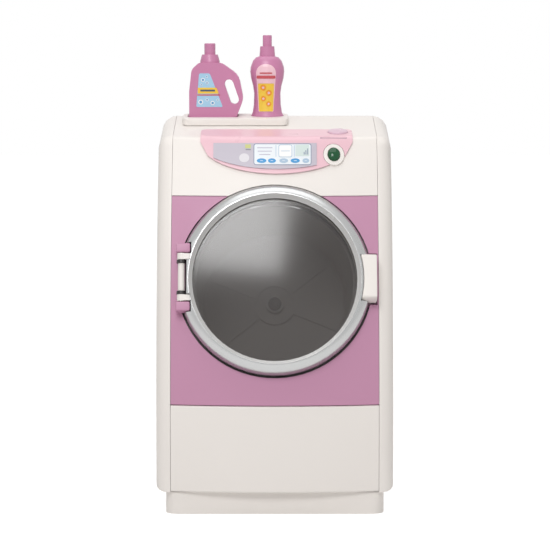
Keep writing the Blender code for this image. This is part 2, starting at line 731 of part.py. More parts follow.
def rounded_rectangle(left, right, low, high, radius, steps=CORNER_STEPS):
    """Points round a rectangle with round corners."""
    corners = ((right, high, 0), (left, high, 1), (left, low, 2), (right, low, 3))
    points = []
    for x, y, quarter in corners:
        centre_x = x - math.copysign(radius, x - (left + right) / 2)
        centre_y = y - math.copysign(radius, y - (low + high) / 2)
        for step in range(steps + 1):
            angle = (quarter + step / steps) * math.pi / 2
            reach = (radius * math.cos(angle), radius * math.sin(angle))
            points.append((centre_x + reach[0], centre_y + reach[1]))
    return points


def curved_sheet(name, columns, sections, wall, outward=0):
    """A moulded sheet: a grid laid through one section for each column, with a wall."""
    rows = len(sections[0]) - 1
    bm = bmesh.new()
    bmesh.ops.create_grid(bm, x_segments=columns, y_segments=rows, size=1)
    for vert in bm.verts:
        column = round((vert.co.x + 1) / 2 * columns)
        row = round((vert.co.y + 1) / 2 * rows)
        vert.co = sections[column][row]
    item = mesh_object(name, bm)
    solid = item.modifiers.new("wall", "SOLIDIFY")
    solid.thickness = wall
    solid.offset = outward
    solid.use_even_offset = True
    return item


def sheet_sections(columns, left, right, path):
    """Sections of a sheet: path(x) gives its (y, z) points at each column."""
    places = [left + (right - left) * column / columns for column in range(columns + 1)]
    return [[Vector((x, y, z)) for y, z in path(x)] for x in places]


def panel_path(low, high, rows):
    """Section of a front panel between two heights."""
    def path(x):
        return rounded_path(front_arc(low, high, rows, x), CORNER_STEPS)
    return path


def top_path(x):
    """Section of the top cover: fascia, front edge, slope, crest and back edge."""
    corner_y, corner_z = edge_corner(x)
    corners = front_arc(MAUVE_TOP + SEAT_GAP, corner_z - FRONT_EDGE_RADIUS, CORNER_STEPS, x)
    corners.append((corner_y, corner_z, FRONT_EDGE_RADIUS))
    for step in range(1, CORNER_STEPS):
        y = corner_y + (SLOPE_END_Y - corner_y) * step / CORNER_STEPS
        corners.append((y, slope_height(y), 0))
    corners.extend(crest_arc(CORNER_STEPS))
    corners.append((BACK_Y, CREST_HEIGHT, BACK_CORNER_RADIUS))
    corners.append((BACK_Y, CREST_HEIGHT - BACK_DROP, 0))
    return rounded_path(corners, CORNER_STEPS)


def lower_path(x):
    """Section of the lower panel: a return over the plinth, the face and a lip at the top."""
    low = CABINET_FLOOR + SEAT_GAP
    high = MAUVE_BOTTOM - SEAT_GAP
    corners = [(front_y(low, x) + LOWER_RETURN, low, 0)]
    corners.append((front_y(low, x), low, LOWER_EDGE_RADIUS))
    inner = front_arc(low, high, ARC_ROWS, x)[1:-1]
    corners.extend(inner)
    corners.append((front_y(high, x), high, LOWER_EDGE_RADIUS))
    corners.append((front_y(high, x) + LOWER_LIP, high, 0))
    return rounded_path(corners, CORNER_STEPS)


def side_panel(name, side):
    """A side panel: a pan open inwards whose outer edges are rounded into the bands."""
    corner_y, corner_z = edge_corner(SEAM_X)
    corners = front_arc(CABINET_FLOOR, corner_z, PANEL_ROWS, SEAM_X)
    corners.extend(crest_arc(CORNER_STEPS))
    corners.append((BACK_Y, CREST_HEIGHT, 0))
    corners.append((BACK_Y, CABINET_FLOOR, 0))
    outer_x = side * CABINET_WIDTH / 2
    bm = bmesh.new()
    weight = bm.edges.layers.float.new("bevel_weight_edge")
    verts = [bm.verts.new((outer_x, y, z)) for y, z, _ in corners]
    face = bmesh.ops.contextual_create(bm, geom=verts)["faces"][0]
    rim_edges = list(bm.edges)
    result = bmesh.ops.extrude_edge_only(bm, edges=rim_edges)
    inner = [item for item in result["geom"] if isinstance(item, bmesh.types.BMVert)]
    bmesh.ops.translate(bm, vec=(-side * CHEEK_WIDTH, 0, 0), verts=inner)
    for edge in bm.edges:
        ends = [vert.co for vert in edge.verts]
        on_face = all(abs(co.x - outer_x) < MERGE_DISTANCE for co in ends)
        middle = (ends[0] + ends[1]) / 2
        if on_face:
            edge[weight] = 1
            if middle.z < CABINET_FLOOR + MERGE_DISTANCE:
                edge[weight] = CHEEK_BOTTOM_SHARE
            elif middle.y > BACK_Y - MERGE_DISTANCE:
                edge[weight] = CHEEK_BACK_SHARE
        elif abs(ends[0].x - ends[1].x) > CHEEK_WIDTH / 2:
            top_front = abs(middle.z - corner_z) < MERGE_DISTANCE
            top_back = abs(middle.y - BACK_Y) < MERGE_DISTANCE and middle.z > corner_z
            if top_front or top_back:
                edge[weight] = CHEEK_CORNER_SHARE
    bmesh.ops.recalc_face_normals(bm, faces=bm.faces)
    if face.normal.x * side < 0:
        bmesh.ops.reverse_faces(bm, faces=bm.faces)
    item = mesh_object(name, bm)
    bevel = item.modifiers.new("rounded_band", "BEVEL")
    bevel.width = CHEEK_RADIUS
    bevel.segments = CORNER_STEPS + 1
    bevel.limit_method = "WEIGHT"
    bevel.use_clamp_overlap = True
    solid = item.modifiers.new("wall", "SOLIDIFY")
    solid.thickness = WALL
    solid.offset = -1
    solid.use_even_offset = True
    return finish(item, name, WHITE_ABS)


def console_outline(drop, left, right, half_width, top):
    """Outline with a half elliptic lower edge, in X and Z."""
    points = []
    for step in range(ROUND_STEPS + 1):
        x = left + (right - left) * step / ROUND_STEPS
        reach = min(1, abs(x - CONSOLE_CENTRE_X) / half_width)
        points.append((x, CONSOLE_SIDE_HEIGHT - drop * math.sqrt(1 - reach * reach)))
    points.append((right, top))
    points.append((left, top))
    return points


def standing_plate(name, outline, near_y, far_y):
    """A plate whose outline is in X and Z, between two depths."""
    item = plate(name, [outline], -far_y, -near_y)
    item.data.transform(Matrix.Rotation(math.pi / 2, 4, "X"))
    return item


def make_top_cover(opening):
    """White top cover with the upper fascia, the lamp boss, the button hole and board posts."""
    sections = sheet_sections(PANEL_COLUMNS, -PANEL_X, PANEL_X, top_path)
    cover = curved_sheet("top_cover", PANEL_COLUMNS, sections, PANEL_WALL, -1)
    combine(cover, opening, "DIFFERENCE")
    stretch = (LAMP_HALF_HEIGHT + LAMP_BOSS_WIDTH) / (LAMP_HALF_WIDTH + LAMP_BOSS_WIDTH)
    boss_line = circle(LAMP_HALF_WIDTH + LAMP_BOSS_WIDTH, ROUND_STEPS, stretch=stretch)
    boss = as_cutter(
        plate("lamp_boss", [boss_line], -LAMP_BOSS_DEPTH, LAMP_BOSS_HEIGHT),
        "lamp_boss", LAMP_PLANE,
    )
    add_bevel(boss, BUTTON_DOME, 2)
    combine(cover, boss, "UNION")
    lens_line = circle(
        LAMP_HALF_WIDTH + SEAT_GAP, ROUND_STEPS,
        stretch=(LAMP_HALF_HEIGHT + SEAT_GAP) / (LAMP_HALF_WIDTH + SEAT_GAP),
    )
    seat_low = LAMP_BOSS_HEIGHT - LAMP_SEAT_DEPTH
    seat = plate("lamp_seat", [lens_line], seat_low, LAMP_BOSS_HEIGHT + CUT_OVERRUN)
    combine(cover, as_cutter(seat, "lamp_seat", LAMP_PLANE), "DIFFERENCE")
    led_low = -LAMP_BOSS_DEPTH - CUT_OVERRUN
    led_hole = rod("led_hole", LED_RADIUS + SEAT_GAP, led_low, LAMP_BOSS_HEIGHT)
    combine(cover, as_cutter(led_hole, "led_hole", LAMP_PLANE), "DIFFERENCE")
    for x in (BOARD_LEFT + POST_INSET, BOARD_RIGHT - POST_INSET):
        for run in (BOARD_START + POST_INSET, BOARD_END - POST_INSET):
            low = SEAT_GAP - BOARD_DEPTH
            post = rod("post", POST_RADIUS, low, -PANEL_WALL / 2, SMALL_STEPS, (x, run))
            combine(cover, as_cutter(post, "board_post", SLOPE_PLANE), "UNION")
    radius = BUTTON_RADIUS + RUN_GAP
    hole = rod("hole", radius, -PANEL_WALL * 2, PANEL_WALL, ROUND_STEPS, BUTTON_PLACE)
    combine(cover, as_cutter(hole, "cover_button_hole", SLOPE_PLANE), "DIFFERENCE")
    return finish(cover, "top_cover", WHITE_ABS)


def console_path(lift, low, run):
    """Section of a skin that wraps over the front edge, lifted off the cover."""
    def path(x):
        corner_y, corner_z = edge_corner(x)
        end_y = EDGE_Y + run * math.cos(TOP_SLOPE)
        corners = front_arc(low, corner_z - FRONT_EDGE_RADIUS, ARC_ROWS, x)
        corners.append((corner_y, corner_z, FRONT_EDGE_RADIUS))
        corners.append((end_y, slope_height(end_y), 0))
        return lift_path(rounded_path(corners, CORNER_STEPS), lift)
    return path


def lift_path(points, lift):
    """Move a section outwards, square to itself."""
    lifted = []
    for index, point in enumerate(points):
        before = points[max(index - 1, 0)]
        after = points[min(index + 1, len(points) - 1)]
        along = (after - before).normalized()
        lifted.append(point + Vector((-along.y, along.x)) * lift)
    return lifted


def make_console():
    """Pink console that wraps from the fascia onto the slope."""
    left = CONSOLE_LEFT
    right = CONSOLE_RIGHT
    low = CONSOLE_SIDE_HEIGHT - CONSOLE_DROP - CUT_OVERRUN
    sections = sheet_sections(PANEL_COLUMNS, left, right, console_path(SEAT_GAP, low, CONSOLE_RUN))
    console = curved_sheet("control_console", PANEL_COLUMNS, sections, CONSOLE_WALL, 1)
    front_line = console_outline(CONSOLE_DROP, left, right, CONSOLE_HALF_WIDTH, CREST_HEIGHT)
    front_cut = standing_plate("console_front", front_line, BELLY_Y, BACK_Y)
    combine(console, as_cutter(front_cut, "console_front"), "INTERSECT")
    plan = rounded_rectangle(
        left, right, BELLY_Y, EDGE_Y + CONSOLE_RUN * math.cos(TOP_SLOPE), CONSOLE_CORNER_RADIUS
    )
    plan_cut = plate("console_plan", [plan], 0, CREST_HEIGHT + CUT_OVERRUN)
    combine(console, as_cutter(plan_cut, "console_plan"), "INTERSECT")
    ring = LAMP_HALF_WIDTH + LAMP_BOSS_WIDTH + SEAT_GAP
    stretch = (LAMP_HALF_HEIGHT + LAMP_BOSS_WIDTH + SEAT_GAP) / ring
    notch_line = circle(ring, ROUND_STEPS, stretch=stretch)
    notch = plate("console_notch", [notch_line], -LAMP_BOSS_DEPTH, LAMP_BOSS_DEPTH)
    combine(console, as_cutter(notch, "console_notch", LAMP_PLANE), "DIFFERENCE")
    radius = BUTTON_RADIUS + RUN_GAP / 2
    hole = rod("hole", radius, -PANEL_WALL, PANEL_WALL * 2, ROUND_STEPS, BUTTON_PLACE)
    combine(console, as_cutter(hole, "console_button_hole", SLOPE_PLANE), "DIFFERENCE")
    return finish(console, "control_console", PINK_ABS)


def make_label():
    """Thin display label on the console."""
    low = CONSOLE_SIDE_HEIGHT - LABEL_DROP - CUT_OVERRUN
    lift = SEAT_GAP + CONSOLE_WALL + SEAT_GAP
    high = LABEL_TOP - FRONT_EDGE_RADIUS / 4

    def path(x):
        corners = front_arc(low, high, ARC_ROWS, x)
        return lift_path(rounded_path(corners, 1), lift)

    sections = sheet_sections(PANEL_COLUMNS, LABEL_LEFT, LABEL_RIGHT, path)
    label = curved_sheet("display_label", PANEL_COLUMNS, sections, LABEL_WALL, 1)
    line = console_outline(LABEL_DROP, LABEL_LEFT, LABEL_RIGHT, LABEL_HALF_WIDTH, LABEL_TOP)
    cut = standing_plate("label_line", line, BELLY_Y, BACK_Y)
    combine(label, as_cutter(cut, "label_line"), "INTERSECT")
    return finish(label, "display_label", LABEL_GREY)


def make_lamp():
    """Oval lamp lens in its boss, and the lamp behind it."""
    rim = LAMP_BOSS_HEIGHT - LAMP_SEAT_DEPTH + SEAT_GAP
    profile = [(0, LAMP_BOSS_HEIGHT + LAMP_DOME)]
    for step in range(1, CORNER_STEPS + 1):
        angle = step / CORNER_STEPS * math.pi / 2
        height = LAMP_BOSS_HEIGHT + LAMP_DOME * math.cos(angle)
        profile.append((LAMP_HALF_WIDTH * math.sin(angle), height))
    profile.append((LAMP_HALF_WIDTH, rim))
    profile.append((0, rim))
    lens = turned("lamp_lens", profile, ROUND_STEPS)
    lens.scale = (1, LAMP_HALF_HEIGHT / LAMP_HALF_WIDTH, 1)
    finish(lens, "lamp_lens", LAMP_GREEN, LAMP_PLANE)
    nose = rim - SEAT_GAP
    body = LED_RADIUS
    led = turned("lamp_led", [
        (0, nose), (body * math.sin(math.pi / 4), nose - body * (1 - math.cos(math.pi / 4))),
        (body, nose - body), (body, nose - LED_LENGTH), (0, nose - LED_LENGTH),
    ], SMALL_STEPS)
    return finish(led, "lamp_led", SMOKE_CLEAR, LAMP_PLANE)


def make_button():
    """Start button with its skirt and stem, its switch and the circuit board."""
    axis = make_frame("button_axis", (0, 0, 0))
    axis.parent = SLOPE_PLANE
    axis.location = (*BUTTON_PLACE, 0)
    top = SEAT_GAP + CONSOLE_WALL + BUTTON_RISE
    skirt = BUTTON_SKIRT_DEPTH
    profile = [
        (0, top), (BUTTON_RADIUS / 2, top - BUTTON_DOME / 4),
        (BUTTON_RADIUS - BUTTON_DOME, top - BUTTON_DOME), (BUTTON_RADIUS, top - BUTTON_DOME * 2),
        (BUTTON_RADIUS, -skirt), (BUTTON_RADIUS + BUTTON_SKIRT_WIDTH, -skirt),
        (BUTTON_RADIUS + BUTTON_SKIRT_WIDTH, -skirt - BUTTON_SKIRT_THICK),
        (BUTTON_STEM_RADIUS, -skirt - BUTTON_SKIRT_THICK), (BUTTON_STEM_RADIUS, -BUTTON_STEM_END),
        (0, -BUTTON_STEM_END),
    ]
    finish(turned("start_button", profile, ROUND_STEPS), "start_button", BOTTLE_PLASTIC, axis)
    deck = -BOARD_DEPTH
    half = SWITCH_SIZE / 2
    switch = box(
        "start_switch", (BUTTON_X - half, BUTTON_RUN - half, deck + SEAT_GAP / 2),
        (BUTTON_X + half, BUTTON_RUN + half, deck + SEAT_GAP / 2 + SWITCH_HEIGHT),
    )
    finish(switch, "start_switch", BLACK_RUBBER, SLOPE_PLANE)
    line = rounded_rectangle(BOARD_LEFT, BOARD_RIGHT, BOARD_START, BOARD_END, POST_RADIUS / 2)
    board = plate("circuit_board", [line], deck - BOARD_WALL, deck)
    return finish(board, "circuit_board", BOARD_GREEN, SLOPE_PLANE)


def opening_outline():
    """Round door opening with a straight web at the hinge."""
    radius = RING_RADIUS + OPENING_GAP
    web_x = HINGE_X + HINGE_WEB
    web_low = HINGE_CENTRE - BLOCK_INSIDE
    web_high = HINGE_CENTRE + BLOCK_INSIDE
    start = math.pi + math.asin(-web_low / radius)
    end = 3 * math.pi - math.asin(web_high / radius)
    points = []
    for step in range(RING_STEPS + 1):
        angle = start + (end - start) * step / RING_STEPS
        points.append((radius * math.cos(angle), radius * math.sin(angle)))
    points.extend([(web_x, web_high), (web_x, web_low)])
    return points


def block_spans():
    """The two spans along the hinge that the mauve blocks take."""
    upper = HINGE_CENTRE + BLOCK_INSIDE
    lower = HINGE_CENTRE - BLOCK_INSIDE
    return ((upper, upper + BLOCK_LENGTH), (lower - BLOCK_LENGTH, lower))


def make_front_panel(opening):
    """Mauve front panel with the door opening, the hinge blocks and the grip pocket."""
    path = panel_path(MAUVE_BOTTOM + SEAT_GAP, MAUVE_TOP - SEAT_GAP, PANEL_ROWS)
    sections = sheet_sections(PANEL_COLUMNS, -PANEL_X, PANEL_X, path)
    panel = curved_sheet("front_panel", PANEL_COLUMNS, sections, PANEL_WALL, -1)
    pocket = box(
        "pocket", (POCKET_LEFT, POCKET_LOW - POCKET_WALL, -POCKET_FLOOR - POCKET_WALL),
        (PANEL_X, POCKET_HIGH + POCKET_WALL, -POCKET_JOIN),
    )
    combine(panel, as_cutter(pocket, "grip_pocket", DOOR_PLANE), "UNION")
    combine(panel, opening, "DIFFERENCE")
    hollow = box(
        "hollow", (POCKET_LEFT - CUT_OVERRUN, POCKET_LOW, -POCKET_FLOOR),
        (PANEL_X - POCKET_SIDE_WALL, POCKET_HIGH, DOOR_CLEAR),
    )
    combine(panel, as_cutter(hollow, "pocket_hollow", DOOR_PLANE), "DIFFERENCE")
    combine(panel, latch_slot("pocket_slot", -POCKET_FLOOR - POCKET_WALL * 2), "DIFFERENCE")
    for index, (low, high) in enumerate(block_spans()):
        block = box(
            "block", (HINGE_X - BLOCK_LEFT, low, -BLOCK_FOOT),
            (HINGE_X + BLOCK_RIGHT, high, HINGE_HEIGHT + KNUCKLE_RADIUS), BLOCK_ROUND, 2,
        )
        combine(panel, as_cutter(block, f"hinge_block_{index}", DOOR_PLANE), "UNION")
    reach = BLOCK_INSIDE + BLOCK_LENGTH / 2
    bore = rod("bore", HINGE_PIN_RADIUS + SEAT_GAP, -reach, reach, SMALL_STEPS)
    bore.data.transform(Matrix.Rotation(math.pi / 2, 4, "X"))
    combine(panel, as_cutter(bore, "pin_bore", HINGE_AXIS), "DIFFERENCE")
    return finish(panel, "front_panel", MAUVE_ABS)


def latch_slot(name, low):
    """Cutter for the slot that the latch tongue swings through."""
    middle = HANDLE_MIDDLE
    wide = LATCH_HALF_WIDTH + RUN_GAP
    slot = box(
        name, (LATCH_X - LATCH_HALF_THICK - RUN_GAP, middle - wide, low),
        (LATCH_X + LATCH_HALF_THICK + LATCH_SLOT_ROOM, middle + wide, CUT_OVERRUN - POCKET_FLOOR),
    )
    return as_cutter(slot, name, DOOR_PLANE)


def make_cabinet():
    """Shells that make up the cabinet."""
    side_panel("side_panel_left", -1)
    side_panel("side_panel_right", 1)
    hole = plate("door_opening", [opening_outline()], -RING_BACK - RUN_GAP, DOOR_CLEAR)
    opening = as_cutter(hole, "door_opening", DOOR_PLANE)
    make_top_cover(opening)
    make_front_panel(opening)
    sections = sheet_sections(PANEL_COLUMNS, -PANEL_X, PANEL_X, lower_path)
    lower = curved_sheet("lower_panel", PANEL_COLUMNS, sections, WALL, -1)
    finish(lower, "lower_panel", WHITE_ABS)
    half = PLINTH_HALF_WIDTH
    line = rounded_rectangle(-half, half, PLINTH_FRONT_Y, PLINTH_BACK_Y, PLINTH_CORNER_RADIUS)
    plinth = plate("base_plinth", [line], 0, CABINET_FLOOR - SEAT_GAP)
    inner = rounded_rectangle(
        -half + PLINTH_WALL, half - PLINTH_WALL, PLINTH_FRONT_Y + PLINTH_WALL,
        PLINTH_BACK_Y - PLINTH_WALL, PLINTH_CORNER_RADIUS - PLINTH_WALL,
    )
    hollow = plate("plinth_hollow", [inner], PLINTH_WALL, CABINET_FLOOR)
    combine(plinth, as_cutter(hollow, "plinth_hollow"), "DIFFERENCE")
    for x in (-half + PLINTH_POST_INSET, half - PLINTH_POST_INSET):
        for y in (PLINTH_FRONT_Y + PLINTH_POST_INSET, PLINTH_BACK_Y - PLINTH_POST_INSET):
            high = CABINET_FLOOR - SEAT_GAP
            post = rod("post", PLINTH_POST_RADIUS, PLINTH_WALL / 2, high, SMALL_STEPS, (x, y))
            combine(plinth, as_cutter(post, "plinth_post"), "UNION")
    finish(plinth, "base_plinth", WHITE_ABS)


def make_door():
    """Door ring, window, retainer, handle, latch and hinge arms, all hung on the hinge axis."""
    home = -HINGE_OFFSET
    profile = [(RING_CREST_INNER, RING_CREST_HEIGHT)]
    for step in range(ARC_ROWS):
        angle = step / (ARC_ROWS - 1) * math.pi / 2
        rise = (RING_CREST_HEIGHT - RING_SIDE_HEIGHT) * math.cos(angle)
        radius = RING_CREST_OUTER + RING_SLOPE_WIDTH * math.sin(angle)
        profile.append((radius, RING_SIDE_HEIGHT + rise))
    profile += [
        (RING_RADIUS, -RING_BACK), (RING_SEAT_RADIUS, -RING_BACK),
        (RING_SEAT_RADIUS, RING_SEAT_HEIGHT), (RING_BORE, RING_SEAT_HEIGHT),
        (RING_BORE, RING_LIP_HEIGHT), (RING_BEVEL_RADIUS, RING_BEVEL_HEIGHT),
    ]
    ring = turned("door_ring", profile, RING_STEPS, closed=True)
    spans = block_spans()
    reach_left = -RING_RADIUS - CUT_OVERRUN
    flat = box(
        "flat", (reach_left, spans[1][0] - BLOCK_ROOM, -DOOR_CLEAR),
        (HINGE_X + RING_FLAT, spans[0][1] + BLOCK_ROOM, DOOR_CLEAR),
    )
    combine(ring, as_cutter(flat, "ring_flat", HINGE_AXIS, home), "DIFFERENCE")
    for index, (low, high) in enumerate(spans):
        room = box(
            "room", (reach_left, low - BLOCK_ROOM, -DOOR_CLEAR),
            (HINGE_X + BLOCK_RIGHT + BLOCK_ROOM, high + BLOCK_ROOM, DOOR_CLEAR),
        )
        combine(ring, as_cutter(room, f"ring_room_{index}", HINGE_AXIS, home), "DIFFERENCE")
    bay = box(
        "bay", (RING_BORE, HANDLE_LOW - SEAT_GAP, -DOOR_CLEAR),
        (RING_RADIUS + CUT_OVERRUN, HANDLE_HIGH + SEAT_GAP, DOOR_CLEAR),
    )
    keep = rod("keep", BAY_RADIUS, -DOOR_CLEAR * 2, DOOR_CLEAR * 2, RING_STEPS)
    as_cutter(keep, "bay_keep", HINGE_AXIS, home)
    as_cutter(bay, "ring_bay", HINGE_AXIS, home)
    combine(bay, keep, "DIFFERENCE")
    combine(ring, bay, "DIFFERENCE")
    for index, side in enumerate((1, -1)):
        make_hinge_arm(ring, index, side, home)
    finish(ring, "door_ring", SILVER_PLATE, HINGE_AXIS, home)
    make_window(home)
    make_handle(home)


def make_hinge_arm(ring, index, side, home):
    """A knuckle on the pin with the arm that runs into its socket in the ring."""
    middle = HINGE_CENTRE + side * (BLOCK_INSIDE - RUN_GAP - KNUCKLE_LENGTH / 2)
    half = KNUCKLE_LENGTH / 2
    name = ("hinge_arm_upper", "hinge_arm_lower")[index]
    arm_room = ARM_REACH + SEAT_GAP
    thick = KNUCKLE_RADIUS - ARM_INSET
    socket = box(
        "socket", (HINGE_X, middle - half - SEAT_GAP, HINGE_HEIGHT - thick - SEAT_GAP),
        (HINGE_X + arm_room, middle + half + SEAT_GAP, DOOR_CLEAR),
    )
    combine(ring, as_cutter(socket, f"arm_socket_{index}", HINGE_AXIS, home), "DIFFERENCE")
    knuckle = rod("knuckle", KNUCKLE_RADIUS, -half, half, ROUND_STEPS)
    knuckle.data.transform(Matrix.Rotation(math.pi / 2, 4, "X"))
    knuckle.data.transform(Matrix.Translation((HINGE_X, middle, HINGE_HEIGHT)))
    arm = box(
        "arm", (HINGE_X, middle - half + ARM_INSET, HINGE_HEIGHT - thick),
        (HINGE_X + ARM_REACH, middle + half - ARM_INSET, HINGE_HEIGHT + thick),
    )
    combine(knuckle, as_cutter(arm, f"arm_bar_{index}", HINGE_AXIS, home), "UNION")
    bore = rod("bore", HINGE_PIN_RADIUS + SEAT_GAP, -half * 2, half * 2, SMALL_STEPS)
    bore.data.transform(Matrix.Rotation(math.pi / 2, 4, "X"))
    bore.data.transform(Matrix.Translation((HINGE_X, middle, HINGE_HEIGHT)))
    combine(knuckle, as_cutter(bore, f"arm_bore_{index}", HINGE_AXIS, home), "DIFFERENCE")
    finish(knuckle, name, WHITE_ABS, HINGE_AXIS, home)


def make_window(home):
    """Smoke tinted domed window and the snap ring that holds it."""
    face = RING_SEAT_HEIGHT - SEAT_GAP
    edge = RING_BORE - SEAT_GAP
    rim = RING_SEAT_RADIUS - SEAT_GAP
    dome_radius = (edge * edge + WINDOW_RISE * WINDOW_RISE) / (2 * WINDOW_RISE)
    outer = []
    for step in range(CORNER_STEPS + 2):
        radius = edge * step / (CORNER_STEPS + 1)
        sink = dome_radius - math.sqrt(dome_radius * dome_radius - radius * radius)
        outer.append((radius, face + WINDOW_RISE - sink))
    inner = [(radius, height - WINDOW_WALL) for radius, height in reversed(outer)]
    profile = outer + [(rim, face), (rim, face - WINDOW_WALL)] + inner
    window = turned("door_window", profile, DRUM_STEPS)
    finish(window, "door_window", SMOKE_CLEAR, HINGE_AXIS, home)
    top = face - WINDOW_WALL - SEAT_GAP
    low = top - RETAINER_DEPTH
    retainer = turned("window_retainer", [
        (rim, top), (rim, low), (rim - RETAINER_WIDTH, low), (rim - RETAINER_WIDTH, top),
    ], DRUM_STEPS, closed=True)
    finish(retainer, "window_retainer", WHITE_ABS, HINGE_AXIS, home)


def make_handle(home):
    """White grip with a chamfered underside, and the latch tongue behind it."""
    chamfer = HANDLE_CHAMFER
    outline = [
        (HANDLE_LOW, -HANDLE_BACK), (HANDLE_LOW, HANDLE_FRONT - chamfer * 2),
        (HANDLE_LOW + chamfer, HANDLE_FRONT), (HANDLE_HIGH, HANDLE_FRONT),
        (HANDLE_HIGH, -HANDLE_BACK),
    ]
    handle = plate("door_handle", [outline], RING_BORE, HANDLE_RIGHT)
    turn = Matrix(((0, 0, 1, 0), (1, 0, 0, 0), (0, 1, 0, 0), (0, 0, 0, 1)))
    handle.data.transform(turn)
    room = rod("room", BAY_RADIUS + SEAT_GAP, -DOOR_CLEAR * 2, DOOR_CLEAR * 2, RING_STEPS)
    combine(handle, as_cutter(room, "handle_arc", HINGE_AXIS, home), "DIFFERENCE")
    add_bevel(handle, HANDLE_ROUND, 2)
    finish(handle, "door_handle", WHITE_ABS, HINGE_AXIS, home)
    middle = HANDLE_MIDDLE
    top = -HANDLE_BACK - SEAT_GAP
    tongue = box(
        "door_latch", (LATCH_X - LATCH_HALF_THICK, middle - LATCH_HALF_WIDTH, top - LATCH_LENGTH),
        (LATCH_X + LATCH_HALF_THICK, middle + LATCH_HALF_WIDTH, top), LATCH_HALF_THICK / 2, 2,
    )
    finish(tongue, "door_latch", WHITE_ABS, HINGE_AXIS, home)


def make_hinge_hardware():
    """Pin, barrel and washers between the blocks."""
    span = BLOCK_INSIDE - RUN_GAP - KNUCKLE_LENGTH - SEAT_GAP
    pin_reach = BLOCK_INSIDE + BLOCK_LENGTH / 2 - SEAT_GAP
    pieces = [("hinge_pin", 0, HINGE_PIN_RADIUS, -pin_reach, pin_reach, STEEL)]
    washer_low = span - WASHER_LENGTH
    for name, low, high in (("upper", washer_low, span), ("lower", -span, -washer_low)):
        name = "hinge_washer_" + name
        pieces.append((name, HINGE_PIN_RADIUS, WASHER_RADIUS, low, high, BLACK_RUBBER))
    barrel = washer_low - SEAT_GAP
    pieces.append(("hinge_barrel", HINGE_PIN_RADIUS, BARREL_RADIUS, -barrel, barrel, WHITE_ABS))
    for name, inner, radius, low, high, look in pieces:
        if inner:
            bore = inner + SEAT_GAP
            profile = [(radius, high), (radius, low), (bore, low), (bore, high)]
            item = turned(name, profile, ROUND_STEPS, closed=True)
        else:
            item = rod(name, radius, low, high, SMALL_STEPS)
        finish(item, name, look, HINGE_AXIS)
        item.rotation_euler = (-math.pi / 2, 0, 0)


def make_collar():
    """Dark collar that lines the opening between the door and the drum, and the door catch."""
    face = -RING_BACK - SEAT_GAP - RUN_GAP / 2
    back = face - COLLAR_WALL
    rim = COLLAR_FLANGE_RADIUS - COLLAR_WALL
    profile = [
        (COLLAR_FLANGE_RADIUS, face + COLLAR_RIM_HEIGHT), (COLLAR_FLANGE_RADIUS, back),
        (COLLAR_MOUTH + COLLAR_WALL, back), (COLLAR_THROAT + COLLAR_WALL, back - COLLAR_DEPTH),
        (COLLAR_THROAT, back - COLLAR_DEPTH), (COLLAR_MOUTH, face), (rim, face),
        (rim, face + COLLAR_RIM_HEIGHT),
    ]
    collar = turned("opening_collar", profile, RING_STEPS, closed=True)
    room = POCKET_WALL + SEAT_GAP
    bay = box(
        "bay", (POCKET_LEFT - SEAT_GAP, POCKET_LOW - room, back - CUT_OVERRUN),
        (PANEL_X + CUT_OVERRUN, POCKET_HIGH + room, DOOR_CLEAR),
    )
    combine(collar, as_cutter(bay, "pocket_bay", DOOR_PLANE), "DIFFERENCE")
    finish(collar, "opening_collar", GREY_ABS, DOOR_PLANE)
    top = -POCKET_FLOOR - POCKET_WALL - SEAT_GAP
    catch = box(
        "door_catch", (POCKET_LEFT, POCKET_LOW, top - COLLAR_WALL), (PANEL_X, POCKET_HIGH, top)
    )
    middle = HANDLE_MIDDLE
    wide = LATCH_HALF_WIDTH + RUN_GAP + CATCH_JAW
    jaw = box(
        "jaw", (POCKET_LEFT - CATCH_JAW, middle - wide, top - CATCH_JAW_DEPTH),
        (PANEL_X - CATCH_JAW / 2, middle + wide, top - COLLAR_WALL / 2),
    )
    combine(catch, as_cutter(jaw, "catch_jaw", DOOR_PLANE), "UNION")
    combine(catch, latch_slot("catch_slot", top - CATCH_JAW_DEPTH * 2), "DIFFERENCE")
    finish(catch, "door_catch", GREY_ABS, DOOR_PLANE)


